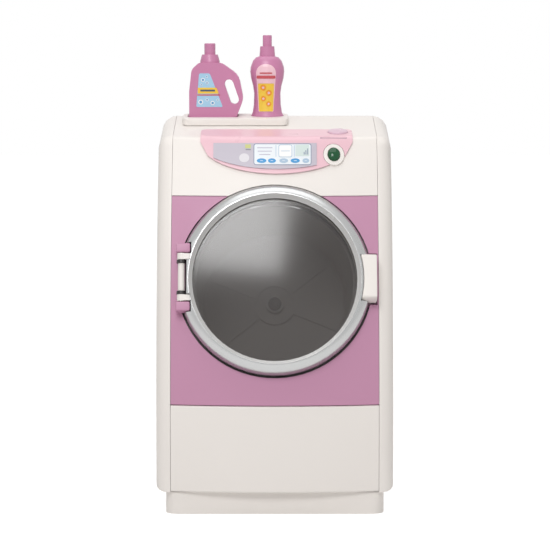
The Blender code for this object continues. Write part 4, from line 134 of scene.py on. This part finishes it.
# %% [markdown]
# ## The skin of a moulding
#
# A moulded face is never a perfect mirror. The melt leaves a very fine orange peel, and the gloss
# drifts a little over the width of a hand, where the mould was warmer or the part has been held.
# Real peel is about a third of a millimetre wide. That is less than half a pixel here, so it is
# drawn up to one and a half millimetres wide, and so shallow that only reflections show it.

# %% Helper for moulded finishes
PEEL_DEPTH = 0.05 * MM
PEEL_DETAIL = 2.0
CLOUD_SIZE = 45 * MM
CLOUD_DETAIL = 3.0
CLOUD_LOW, CLOUD_HIGH = 0.3, 0.7


def moulded(name, colour, roughness, grain, relief, drift, **extra):
    """A plastic with peel of a grain in mm, and a gloss that drifts by the given roughness."""
    material = plastic(name, colour, roughness, **extra)
    tree = material.node_tree
    shader = tree.nodes["Principled BSDF"]
    place = add_node(tree, "ShaderNodeTexCoord").outputs["Object"]
    peel = add_node(
        tree, "ShaderNodeTexNoise", links={"Vector": place},
        values={"Scale": 1 / (grain * MM), "Detail": PEEL_DETAIL},
    )
    bump = add_node(
        tree, "ShaderNodeBump", links={"Height": peel.outputs["Fac"]},
        values={"Strength": relief, "Distance": PEEL_DEPTH},
    )
    tree.links.new(bump.outputs["Normal"], shader.inputs["Normal"])
    clouds = add_node(
        tree, "ShaderNodeTexNoise", links={"Vector": place},
        values={"Scale": 1 / CLOUD_SIZE, "Detail": CLOUD_DETAIL},
    )
    gloss = add_node(
        tree, "ShaderNodeMapRange", links={"Value": clouds.outputs["Fac"]},
        values={
            "From Min": CLOUD_LOW, "From Max": CLOUD_HIGH,
            "To Min": roughness - drift, "To Max": roughness + drift,
        },
    )
    tree.links.new(gloss.outputs["Result"], shader.inputs["Roughness"])
    return material


print("peel depth:", round(PEEL_DEPTH / MM, 3), "mm")
print("gloss drifts over:", round(CLOUD_SIZE / MM), "mm")

# %% [markdown]
# ## The plastics
#
# The cabinet of such a toy is injection moulded ABS, coloured right through. Polished moulds give
# it a soft gloss. The mauve front is the same plastic a little more matt, and the pink console
# and the lilac button are a little glossier. The bottles are blow moulded polyethylene, with a
# coarser, waxy skin. Inside, the drum and the gearbox are plain moulded ABS, the gears are nylon
# in its own ivory colour, and the circuit board wears a green mask that looks like thin lacquer.

# %% Moulded plastics
ABS_IOR = 1.52
NYLON_IOR = 1.53
PE_IOR = 1.50
FILM_IOR = 1.50
# Name, colour, roughness, grain of the peel in mm, its relief, and the drift of the gloss.
WHITE_ABS = moulded("white moulded ABS", 0xF0EBE6, 0.42, 1.4, 0.12, 0.05, IOR=ABS_IOR)
MAUVE_ABS = moulded("mauve moulded ABS", 0xC48EAC, 0.48, 1.4, 0.12, 0.05, IOR=ABS_IOR)
PINK_ABS = moulded("pink moulded ABS", 0xECC2CD, 0.30, 1.2, 0.10, 0.04, IOR=ABS_IOR)
BUTTON_ABS = moulded("lilac moulded ABS", 0xDCBBCC, 0.28, 1.2, 0.08, 0.04, IOR=ABS_IOR)
BOTTLE_PE = moulded("pink blow moulded PE", 0xCA84AA, 0.34, 1.6, 0.14, 0.05, IOR=PE_IOR)
GREY_ABS = moulded("grey moulded ABS", 0x6F6A68, 0.50, 1.2, 0.20, 0.05, IOR=ABS_IOR)
DRUM_ABS = moulded("drum grey moulded ABS", 0xD8D2CD, 0.42, 1.2, 0.04, 0.05, IOR=ABS_IOR)
BLACK_ABS = moulded("black moulded ABS", 0x201B1C, 0.40, 1.2, 0.20, 0.05, IOR=ABS_IOR)
NYLON = moulded("natural moulded nylon", 0xE6E0CF, 0.42, 1.2, 0.20, 0.05, IOR=NYLON_IOR)
LABEL_FILM = moulded("lilac grey printed film", 0xC2BCC8, 0.34, 1.0, 0.05, 0.03, IOR=FILM_IOR)
SOLDER_MASK = moulded("green solder mask", 0x1F5E38, 0.35, 1.0, 0.20, 0.05)
print("plastics mixed:", len(bpy.data.materials))

# %% [markdown]
# ## Silver and steel
#
# The door ring is plastic with a satin silver coat: metallic, but soft enough that it mirrors the
# studio only as broad light and dark bands. Its narrow lip gets a painted highlight: an almost
# white, barely metallic material that stands in for the light it catches as one bright line. The
# screws, pins and the motor are plated steel with a cleaner shine, while the clip and the shaft in
# the hub are blackened spring steel, so they stay quiet behind the window. The cells wear a dark
# printed metal jacket.

# %% Metals
SILVER_COAT = moulded("satin silver coat", 0xB4B5B5, 0.27, 1.0, 0.02, 0.03, Metallic=0.85)
# The lip's almost white material is a painted highlight on the silver of the ring.
LIP_PAINTED_HIGHLIGHT = moulded("silver lip painted highlight", 0xF6F6F5, 0.25, 1.0, 0.015, 0.03, Metallic=0.15)
DARK_STEEL = moulded("blackened spring steel", 0x8A8480, 0.50, 0.6, 0.10, 0.04, Metallic=0.3)
STEEL = moulded("plated steel", 0xBDBBB6, 0.28, 0.6, 0.15, 0.06, Metallic=1.0)
CELL_JACKET = moulded("printed cell jacket", 0x3D4247, 0.30, 1.0, 0.10, 0.04, Metallic=0.4)
print("plastics and metals mixed:", len(bpy.data.materials))

# %% [markdown]
# ## Clear pieces
#
# The window is clear plastic with a brown grey smoke tint, and the drum shows through it. A thin
# clear sheet hardly bends what lies behind it, so it is made of a tint with some see-through, and
# rays pass it straight. Its face has a soft gloss that spreads the reflection of the lamps into
# one pale patch, and its IOR is set high enough to make that patch as strong as in the photograph.
# The lamp lens is deep green and polished: nearly black, with one small bright point.

# %% Clear plastics
WINDOW_SMOKE = plastic("smoke tinted clear plastic", 0x2B2523, 0.17, IOR=1.76, Alpha=0.44)
WINDOW_SMOKE.surface_render_method = "BLENDED"
LAMP_CLEAR = plastic("green clear plastic", 0x07512B, 0.08, IOR=1.42)
print("clear plastics:", WINDOW_SMOKE.name + ",", LAMP_CLEAR.name)

# %% [markdown]
# ## Dressing the solids
#
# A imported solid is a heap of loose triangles: right in shape, but every facet shows. For each one
# a copy is made, the normals it was stored with are cleared, its corners are welded, and the
# shading is smoothed wherever the surface turns gently. Long thin triangles would still bend the
# light, so the normals are weighted by the area of the faces around each corner: broad flat faces
# stay flat. The copy stands for the solid.

# %% Helpers that dress a solid
WELD = 0.005 * MM
SMOOTH_ANGLE = math.radians(34)
FACE_WEIGHT = 80


def deselect():
    """Nothing selected, so an operator acts only on what is picked next."""
    for item in bpy.context.selected_objects:
        item.select_set(False)


def pick(item):
    """One object, selected and active."""
    deselect()
    item.select_set(True)
    bpy.context.view_layer.objects.active = item


def apply(modifier):
    """The modifier becomes part of the active object's mesh."""
    bpy.ops.object.modifier_apply(modifier=modifier.name)


def settle(piece, material, body):
    """The finish of a piece and the body it moves with."""
    piece.data.materials.clear()
    piece.data.materials.append(material)
    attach(piece, body)


def dress(node, material):
    """A welded and smoothed copy of a solid."""
    piece = bpy.data.objects.new(node + "_skin", NODES[node].data.copy())
    bpy.context.scene.collection.objects.link(piece)
    pick(piece)
    bpy.ops.mesh.customdata_custom_splitnormals_clear()
    bpy.ops.object.mode_set(mode="EDIT")
    bpy.ops.mesh.select_all(action="SELECT")
    bpy.ops.mesh.remove_doubles(threshold=WELD)
    bpy.ops.object.mode_set(mode="OBJECT")
    bpy.ops.object.shade_smooth_by_angle(angle=SMOOTH_ANGLE)
    weighted = piece.modifiers.new("weighted normals", "WEIGHTED_NORMAL")
    weighted.mode = "FACE_AREA"
    weighted.weight = FACE_WEIGHT
    weighted.keep_sharp = True
    apply(weighted)
    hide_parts(node)
    settle(piece, material, BODY_OF[node])
    return piece


print("corners closer than", round(WELD / MM, 4), "mm are welded")

# %% [markdown]
# ## The finish of each solid
#
# Each solid has a slot in its record that says what it is made of, so the finish follows from the
# slot. Three solids look different from the rest of their slot and get a finish of their own: the
# start button, and the clip and the shaft in the middle of the drum.

# %% Finish of each solid
FINISHES = {
    "white_abs": WHITE_ABS, "mauve_abs": MAUVE_ABS, "pink_abs": PINK_ABS,
    "bottle_plastic": BOTTLE_PE, "silver_abs": SILVER_COAT, "smoke_clear": WINDOW_SMOKE,
    "grey_abs": GREY_ABS, "drum_grey": DRUM_ABS, "black_plastic": BLACK_ABS, "steel": STEEL,
    "nylon": NYLON, "board_green": SOLDER_MASK, "label_grey": LABEL_FILM,
    "lamp_green": LAMP_CLEAR, "cell_jacket": CELL_JACKET,
}
OWN_FINISH = {"start_button": BUTTON_ABS, "shaft_clip": DARK_STEEL, "drum_shaft": DARK_STEEL}
SKINS = {}
for node in sorted(NODES):
    SKINS[node] = dress(node, OWN_FINISH.get(node, FINISHES[SLOT_OF[node]]))
print("solids dressed:", len(SKINS))

# %% [markdown]
# ## The painted highlight on the lip of the door ring
#
# The ring is satin on its outer slope, but the narrow slope that leads down to the window catches
# the light as one bright line. That line is painted highlight: those faces get the almost white
# material, all that lie inside the crest of the ring and face the front, however little.

# %% Painted highlight on the lip
DOOR_MIDDLE = Vector((0, -54.2, 195.3)) * MM
DOOR_LEAN = math.radians(16)
DOOR_NORMAL = Vector((0, -math.cos(DOOR_LEAN), math.sin(DOOR_LEAN)))
LIP_RADIUS = 72.5 * MM
LEAST_FACING = 0.05

ring = SKINS["door_ring"].data
# The second material paints a highlight onto the lip faces.
ring.materials.append(LIP_PAINTED_HIGHLIGHT)
lip_faces = 0
for face in ring.polygons:
    arm = face.center - DOOR_MIDDLE
    radius = (arm - DOOR_NORMAL * arm.dot(DOOR_NORMAL)).length
    if radius < LIP_RADIUS and face.normal.dot(DOOR_NORMAL) > LEAST_FACING:
        face.material_index = 1
        lip_faces += 1
print("bright lip faces:", lip_faces)

# %% [markdown]
# ## Prints
#
# The display and the labels of the bottles are printed films. Each patch of print is cut from a
# flat plate that hangs in front of its place, facing the front. A plate can have rounded corners,
# a narrower top or an arched one, and a large plate gets straight cuts so that it can bend. These
# are the same steps as by hand: a plane, a few corners picked and moved, a bevel, a few cuts.

# %% Helpers that pick, cut and round
def choose(piece, test):
    """Select, in edit mode, only the corners whose place passes the test."""
    bpy.ops.mesh.select_all(action="DESELECT")
    mesh = bmesh.from_edit_mesh(piece.data)
    for corner in mesh.verts:
        corner.select_set(test(corner.co))
    mesh.select_flush(True)
    bmesh.update_edit_mesh(piece.data)


def cut_across(piece, parts, axis):
    """Straight cuts that part a plate evenly along an axis: 0 for X, 2 for Z."""
    places = [corner.co[axis] for corner in piece.data.vertices]
    low, high = min(places), max(places)
    bpy.ops.object.mode_set(mode="EDIT")
    for step in range(1, parts):
        level = low + (high - low) * step / parts
        point, normal = [0, 0, 0], [0, 0, 0]
        point[axis], normal[axis] = level, 1
        bpy.ops.mesh.select_all(action="SELECT")
        bpy.ops.mesh.bisect(plane_co=point, plane_no=normal)
    bpy.ops.object.mode_set(mode="OBJECT")


def round_off(radius, steps):
    """The selected corners of a plate, rounded."""
    bpy.ops.mesh.bevel(
        offset=radius * MM, offset_type="OFFSET", segments=steps, affect="VERTICES",
    )


print("helpers ready:", choose.__name__ + ",", cut_across.__name__ + ",", round_off.__name__)

# %% [markdown]
# ## Plates and discs
#
# A plate starts as a square of one millimetre and a disc as a circle of the same width. Scaled
# by their size in millimetres and turned to face the front, they get their place applied, so
# that the object stays at the origin with its place in its mesh.

# %% Helpers for a plate and a disc
FRONT_Y = -120 * MM
FACE_FRONT = (math.pi / 2, 0, 0)
CORNER_STEPS = 5
CROWN_STEPS = 12
DISC_SIDES = 28


def bring_to_size(name, size):
    """The new primitive under its own name, at its size and with its place in its mesh."""
    piece = bpy.context.object
    piece.name = name
    piece.scale = (*size, 1)
    bpy.ops.object.transform_apply(location=True, rotation=True, scale=True)
    return piece


def film_plate(name, middle, size, corner=0.0, top=1.0, shift=0.0, crown=0.0, cuts=(1, 1)):
    """A plate by its middle (x, z) and size in mm, with its top scaled, shifted or arched."""
    deselect()
    x, z = middle
    place = (x * MM, FRONT_Y, z * MM)
    bpy.ops.mesh.primitive_plane_add(size=MM, location=place, rotation=FACE_FRONT)
    piece = bring_to_size(name, size)
    bpy.ops.object.mode_set(mode="EDIT")
    if top != 1.0 or shift:
        choose(piece, lambda co: co.z > z * MM)
        bpy.ops.transform.resize(value=(top, 1, 1), center_override=place)
        bpy.ops.transform.translate(value=(shift * MM, 0, 0))
    if crown:
        choose(piece, lambda co: co.z > z * MM)
        round_off(crown, CROWN_STEPS)
        choose(piece, lambda co: co.z < z * MM)
    else:
        bpy.ops.mesh.select_all(action="SELECT")
    if corner:
        round_off(corner, CORNER_STEPS)
    bpy.ops.object.mode_set(mode="OBJECT")
    cut_across(piece, cuts[0], 0)
    cut_across(piece, cuts[1], 2)
    return piece


def film_disc(name, middle, size):
    """A round or oval plate by its middle (x, z) and size in mm."""
    deselect()
    x, z = middle
    bpy.ops.mesh.primitive_circle_add(
        vertices=DISC_SIDES, radius=MM / 2, fill_type="TRIFAN",
        location=(x * MM, FRONT_Y, z * MM), rotation=FACE_FRONT,
    )
    return bring_to_size(name, size)


print("plates are cut", round(-FRONT_Y / MM), "mm in front of the middle")

# %% [markdown]
# ## Laying a film
#
# A shrinkwrap pushes the plate straight back until it lies on the bowed surface, and Solidify
# gives the film its thickness. Each further layer of ink is lifted a little more, so that two
# layers never share one surface. Real ink is far thinner: the lift is what a curve of short
# straight steps needs to keep one layer clear of the next.

# %% Helper that lays a film
FILM = 0.06 * MM
FILM_LIFT = 0.13 * MM
INWARDS = -1


def lay(piece, node, material, layer=1):
    """The plate pushed back onto a dressed solid, given its thickness and its finish."""
    pick(piece)
    wrap = piece.modifiers.new("pushed back", "SHRINKWRAP")
    wrap.wrap_method = "PROJECT"
    wrap.use_project_y = True
    wrap.use_positive_direction = True
    wrap.target = SKINS[node]
    wrap.offset = FILM_LIFT * layer
    apply(wrap)
    film = piece.modifiers.new("film", "SOLIDIFY")
    film.thickness = FILM
    film.offset = INWARDS
    apply(film)
    settle(piece, material, BODY_OF[node])


print("film thickness:", round(FILM / MM, 3), "mm, lift of a layer:", round(FILM_LIFT / MM, 3))

# %% [markdown]
# ## The display print
#
# The lilac grey film in the console carries a printed display: a pale blue window with a thin
# frame, two fine separators, a square field, plain rules, a field of bars and a row of oval keys.
# It is all screen print on one film, flat colour under a clear top coat with a soft gloss. Each
# mark is a patch of its own, one layer above the last.

# %% Display inks
INK_GLOSS = 0.35
INK_IOR = 1.48


def ink(name, colour, roughness=INK_GLOSS):
    """Screen print ink: flat colour with the gloss of its clear top coat."""
    return plastic(name, colour, roughness, IOR=INK_IOR)


PALE_INK = ink("pale blue white ink", 0xEAF0F5)
FRAME_INK = ink("slate blue ink", 0x7F8AA6)
WHITE_INK = ink("white ink", 0xF8F8F8)
KEY_INK = ink("sky blue ink", 0x3C98D4)
SOFT_INK = ink("misty blue ink", 0xA9C2D8)
RULE_INK = ink("lilac ink", 0xB3ACC4)
PEARL_INK = ink("pearl ink", 0xDFDCE2)
MINT_INK = ink("mint ink", 0xD3E1DE)
LIME_INK = ink("lime ink", 0xC9CC83)
GREY_INK = ink("grey ink", 0x8C8C92)
print("finishes so far:", len(bpy.data.materials))

# %% Display window and fields
DISPLAY = "display_label"
# Name, middle, size, corner radius, cuts, ink and layer: the larger a field, the more cuts.
FIELDS = (
    ("display_frame", (6.6, 300.0), (49.2, 17.8), 2.0, (10, 4), FRAME_INK, 1),
    ("display_window", (6.6, 300.0), (48.0, 16.7), 1.6, (10, 4), PALE_INK, 2),
    ("square_frame", (9.0, 302.8), (11.6, 10.4), 1.6, (3, 3), SOFT_INK, 3),
    ("square_field", (9.0, 302.8), (10.6, 9.5), 1.3, (3, 3), WHITE_INK, 4),
    ("bar_field", (23.4, 303.2), (11.8, 9.4), 0.5, (3, 3), MINT_INK, 3),
)
for name, middle, size, corner, cuts, colour, layer in FIELDS:
    lay(film_plate(name, middle, size, corner, cuts=cuts), DISPLAY, colour, layer)
print("fields laid:", len(FIELDS))

# %% [markdown]
# ## Marks on the fields
#
# Three bars rise from one foot line, two separators part the window, and plain rules stand where
# a display would show its lines. All are thin strips, so only the long ones are cut to bend.

# %% Bars, separators and rules
BAR_HEIGHTS = (2.2, 3.6, 5.0)
BAR_WIDTH, BAR_STEP, BAR_START, BAR_FOOT = 0.7, 1.5, 25.0, 299.8
for index, height in enumerate(BAR_HEIGHTS):
    middle = (BAR_START + BAR_STEP * index, BAR_FOOT + height / 2)
    lay(film_plate(f"bar_{index}", middle, (BAR_WIDTH, height)), DISPLAY, FRAME_INK, 4)

SEPARATOR_SIZE, SEPARATOR_Z = (0.45, 9.6), 302.8
for index, x in enumerate((1.0, 16.6)):
    plate = film_plate(f"separator_{index}", (x, SEPARATOR_Z), SEPARATOR_SIZE, cuts=(1, 3))
    lay(plate, DISPLAY, SOFT_INK, 3)

RULES_X, RULE_HEIGHT = -8.5, 0.5
for index, (z, width) in enumerate(((305.4, 13.0), (302.6, 12.0), (299.8, 9.5))):
    plate = film_plate(f"rule_{index}", (RULES_X, z), (width, RULE_HEIGHT), cuts=(4, 1))
    lay(plate, DISPLAY, RULE_INK, 3)
lay(film_plate("square_rule", (9.0, 302.8), (7.4, 0.4)), DISPLAY, SOFT_INK, 5)
print("bars:", len(BAR_HEIGHTS), "and the tallest", max(BAR_HEIGHTS), "mm")

# %% [markdown]
# ## Keys
#
# The keys are a row of flat ovals, each with one short pale dash. Three of them are bright blue
# and two are misty, as keys that are switched off.

# %% Oval keys
KEY_Z, KEY_HEIGHT = 294.7, 3.8
DASH_SHARE, DASH_HEIGHT = 0.3, 0.35
KEYS = (
    (-11.2, 8.2, KEY_INK), (-2.4, 6.8, KEY_INK), (7.6, 7.4, SOFT_INK),
    (17.4, 7.8, KEY_INK), (26.4, 5.8, SOFT_INK),
)
for index, (x, width, colour) in enumerate(KEYS):
    lay(film_disc(f"key_{index}", (x, KEY_Z), (width, KEY_HEIGHT)), DISPLAY, colour, 3)
    dash = (width * DASH_SHARE, DASH_HEIGHT)
    lay(film_plate(f"key_mark_{index}", (x, KEY_Z), dash), DISPLAY, PALE_INK, 4)
print("keys laid:", len(KEYS))

# %% [markdown]
# ## Marks beside the window
#
# Left of the window the film has a pearl disc and two small patches, lime above grey.

# %% Disc and patches
lay(film_disc("dial_disc", (-26.0, 297.0), (8.6, 7.4)), DISPLAY, PEARL_INK)
lay(film_plate("lime_mark", (-22.8, 306.6), (4.8, 3.2)), DISPLAY, LIME_INK)
lay(film_plate("grey_mark", (-22.6, 303.9), (4.4, 0.9)), DISPLAY, GREY_INK)

# %% [markdown]
# ## The line under the button
#
# Below the start button the console shows one soft grey line, the shade of a shallow groove. It is
# painted shade: a thin strip in the colour of the shaded plastic, laid on the console.

# %% Painted shade of the groove under the button
# The strip's colour is painted shade, not a colour of the console.
GROOVE_SHADE = ink("shaded pink", 0xB796A5, roughness=0.5)
groove_painted_shade = film_plate("button_groove_painted_shade", (50.2, 313.4), (23.0, 1.3), 0.6, cuts=(8, 1))
lay(groove_painted_shade, "control_console", GROOVE_SHADE)
print("groove width:", round(groove_painted_shade.dimensions.x / MM, 1), "mm")

# %% [markdown]
# ## Labels of the bottles
#
# Each bottle carries one printed label in bright, flat inks. The prints are plain designs:
# bubbles over a band on the jug, and a row of sunny dots on the softener.

# %% Label inks
SKY_INK = ink("light blue ink", 0xA8D2EC)
BLUE_INK = ink("mid blue ink", 0x5F9FCF)
YELLOW_INK = ink("warm yellow ink", 0xF3CB46)
ORANGE_INK = ink("orange ink", 0xEE9A2C)
RED_INK = ink("soft red ink", 0xC9545C)
ROSE_INK = ink("rose ink", 0xF4CBD6)
NAVY_INK = ink("dull navy ink", 0x47546E)
print("finishes in all:", len(bpy.data.materials))

# %% [markdown]
# ## The jug's label
#
# The jug leans its label to one side: the plate's top is narrowed to two fifths and shifted left,
# so that its right edge runs along the handle. A yellow band with a dark bar and a red stripe
# cross it, and bubbles of several sizes rise above and below, each with a blue core.

# %% Jug label
JUG = "jug_bottle"
# Name, middle, size, corner radius, width of the top, its shift, cuts, ink and layer.
JUG_FIELDS = (
    ("jug_label", (-57.3, 353.0), (23.4, 29.4), 1.2, 0.40, -4.4, (4, 4), SKY_INK, 1),
    ("jug_band", (-58.4, 352.6), (18.6, 5.2), 0.6, 0.88, -0.9, (3, 1), YELLOW_INK, 2),
    ("jug_stripe", (-58.0, 348.8), (20.0, 1.1), 0.3, 1.0, 0.0, (3, 1), RED_INK, 2),
    ("jug_bar", (-58.9, 352.7), (13.0, 1.6), 0.5, 1.0, 0.0, (2, 1), NAVY_INK, 3),
)
for name, middle, size, corner, top, shift, cuts, colour, layer in JUG_FIELDS:
    lay(film_plate(name, middle, size, corner, top, shift, cuts=cuts), JUG, colour, layer)

CORE_SHARE = 0.6
BUBBLES = (
    (-63.0, 362.0, 3.4), (-59.6, 364.8, 2.0), (-59.4, 359.4, 2.4), (-64.4, 357.8, 1.8),
    (-65.0, 342.6, 4.2), (-59.4, 344.6, 2.6), (-54.6, 341.8, 3.6), (-50.0, 344.4, 2.2),
)
for index, (x, z, width) in enumerate(BUBBLES):
    lay(film_disc(f"bubble_{index}", (x, z), (width, width)), JUG, WHITE_INK, 2)
    core = (width * CORE_SHARE, width * CORE_SHARE)
    lay(film_disc(f"bubble_core_{index}", (x, z), core), JUG, BLUE_INK, 3)
print("jug bubbles:", len(BUBBLES))

# %% [markdown]
# ## The softener's label
#
# The softener's label has an arched top and widens upwards with the shoulder of the bottle. The
# bottle is waisted, so its face curves both ways: the plates are cut finely, and the layers are
# lifted by more than one step each, to keep them clear of each other.

# %% Softener label
SOFTENER = "softener_bottle"
SOFTENER_X = -7.7
MARK_LAYER, DOT_LAYER, SUN_CORE_LAYER = 4, 6, 8

label = film_plate(
    "softener_label", (SOFTENER_X, 354.9), (13.0, 41.8), 0.8, top=1.42, crown=8.6, cuts=(12, 18),
)
lay(label, SOFTENER, ROSE_INK)
band = film_plate("softener_band", (SOFTENER_X, 364.4), (16.6, 2.6), 0.8, cuts=(12, 2))
lay(band, SOFTENER, RED_INK, MARK_LAYER)
rule = film_plate("softener_rule", (SOFTENER_X, 367.9), (11.0, 1.1), 0.4, cuts=(10, 1))
lay(rule, SOFTENER, RED_INK, MARK_LAYER)
field = film_plate(
    "softener_field", (SOFTENER_X, 346.6), (12.2, 24.4), 0.8, top=1.16, cuts=(12, 12),
)
lay(field, SOFTENER, YELLOW_INK, MARK_LAYER)
print("label height:", round(label.dimensions.z / MM, 1), "mm")

# %% [markdown]
# ## Sunny dots
#
# Four orange dots with a rose core run down the yellow field in a zigzag, the lower ones smaller.

# %% Dots
SUN_CORE_SHARE = 0.4
DOTS = ((-10.2, 355.2, 5.2), (-5.2, 350.6, 5.2), (-10.0, 345.6, 4.6), (-5.4, 341.0, 4.6))
for index, (x, z, width) in enumerate(DOTS):
    lay(film_disc(f"sun_dot_{index}", (x, z), (width, width)), SOFTENER, ORANGE_INK, DOT_LAYER)
    core = film_disc(f"sun_core_{index}", (x, z), (width * SUN_CORE_SHARE, width * SUN_CORE_SHARE))
    lay(core, SOFTENER, ROSE_INK, SUN_CORE_LAYER)
print("dots laid:", len(DOTS))

# %% [markdown]
# ## Studio
#
# The photograph is a catalogue shot: a pure white ground, a broad soft light from above and in
# front, and light from all round that fills the shadows. The floor and the backdrop are one white
# surface that is plainly white to the camera and in reflections, and still takes the soft shadow
# at the foot of the machine. The toy itself is lit by a weaker, slightly warm fill. One group of
# nodes tells the two kinds of ray apart, for the floor as for the world.

# %% Floor
FLOOR_SIZE = 12.0
FLOOR_GREY = (0.8, 0.8, 0.8, 1)
FLOOR_GLOW = 0.70
PURE_WHITE = (1, 1, 1, 1)


def seen_or_mirrored(tree):
    """1 for rays from the camera, off a gloss or through a clear piece, and 0 for the rest."""
    path = add_node(tree, "ShaderNodeLightPath").outputs
    seen = path["Is Camera Ray"]
    for kind in ("Is Glossy Ray", "Is Transmission Ray"):
        larger = add_node(
            tree, "ShaderNodeMath", {"operation": "MAXIMUM"}, {0: seen, 1: path[kind]},
        )
        seen = larger.outputs[0]
    return seen


def studio_white(name):
    """White that is full white to the camera, yet keeps a soft contact shadow."""
    material = bpy.data.materials.new(name)
    material.use_nodes = True
    tree = material.node_tree
    tree.nodes.clear()
    matt = add_node(tree, "ShaderNodeBsdfDiffuse", values={"Color": FLOOR_GREY}).outputs[0]
    glow = add_node(
        tree, "ShaderNodeEmission", values={"Color": PURE_WHITE, "Strength": FLOOR_GLOW},
    ).outputs[0]
    lit = add_node(tree, "ShaderNodeAddShader", links={0: matt, 1: glow}).outputs[0]
    seen = seen_or_mirrored(tree)
    mix = add_node(tree, "ShaderNodeMixShader", links={0: seen, 1: matt, 2: lit}).outputs[0]
    add_node(tree, "ShaderNodeOutputMaterial", links={"Surface": mix})
    return material


deselect()
bpy.ops.mesh.primitive_plane_add(size=FLOOR_SIZE, location=(0, 0, 0))
floor = bpy.context.object
floor.name = "studio_floor"
floor.data.materials.append(studio_white("studio white"))
print("floor:", FLOOR_SIZE, "m square")

# %% [markdown]
# ## Light from all round
#
# The world is white where it is seen or mirrored, as the paper of a photographer's sweep would
# be. To everything else it gives a weak, slightly warm fill.

# %% World
FILL_COLOUR = (1, 0.97, 0.95, 1)
FILL_STRENGTH = 0.42
world = bpy.data.worlds.new("studio")
bpy.context.scene.world = world
world.use_nodes = True
sky = world.node_tree
sky.nodes.clear()
seen = seen_or_mirrored(sky)
fill = add_node(
    sky, "ShaderNodeBackground", values={"Color": FILL_COLOUR, "Strength": FILL_STRENGTH},
).outputs[0]
ground = add_node(
    sky, "ShaderNodeBackground", values={"Color": PURE_WHITE, "Strength": 1.0},
).outputs[0]
mix = add_node(sky, "ShaderNodeMixShader", links={0: seen, 1: fill, 2: ground}).outputs[0]
add_node(sky, "ShaderNodeOutputWorld", links={"Surface": mix})
print("fill strength:", FILL_STRENGTH)

# %% [markdown]
# ## Lamps
#
# Two soft boxes give the toy its shape. The key hangs in front, a little to the left and above,
# and its reflection is the pale patch in the window. The overhead box is wide and brightens the
# top of the cabinet and the tray.

# %% Lamps
MIDDLE = (0, 0, 0.2)


def soft_lamp(name, place, size, power):
    """A square soft box that faces the middle of the machine."""
    data = bpy.data.lights.new(name, "AREA")
    data.shape = "SQUARE"
    data.size = size
    data.energy = power
    lamp = bpy.data.objects.new(name, data)
    bpy.context.scene.collection.objects.link(lamp)
    lamp.location = place
    lamp.rotation_euler = (Vector(MIDDLE) - Vector(place)).to_track_quat("-Z", "Y").to_euler()


# Name, place and width in metres, and power in watts.
LAMPS = (("key", (-0.19, -1.15, 1.06), 0.5, 7.8), ("overhead", (0, -0.1, 1.6), 1.2, 7))
for name, place, size, power in LAMPS:
    soft_lamp(name, place, size, power)
print("lamps:", [lamp[0] for lamp in LAMPS])
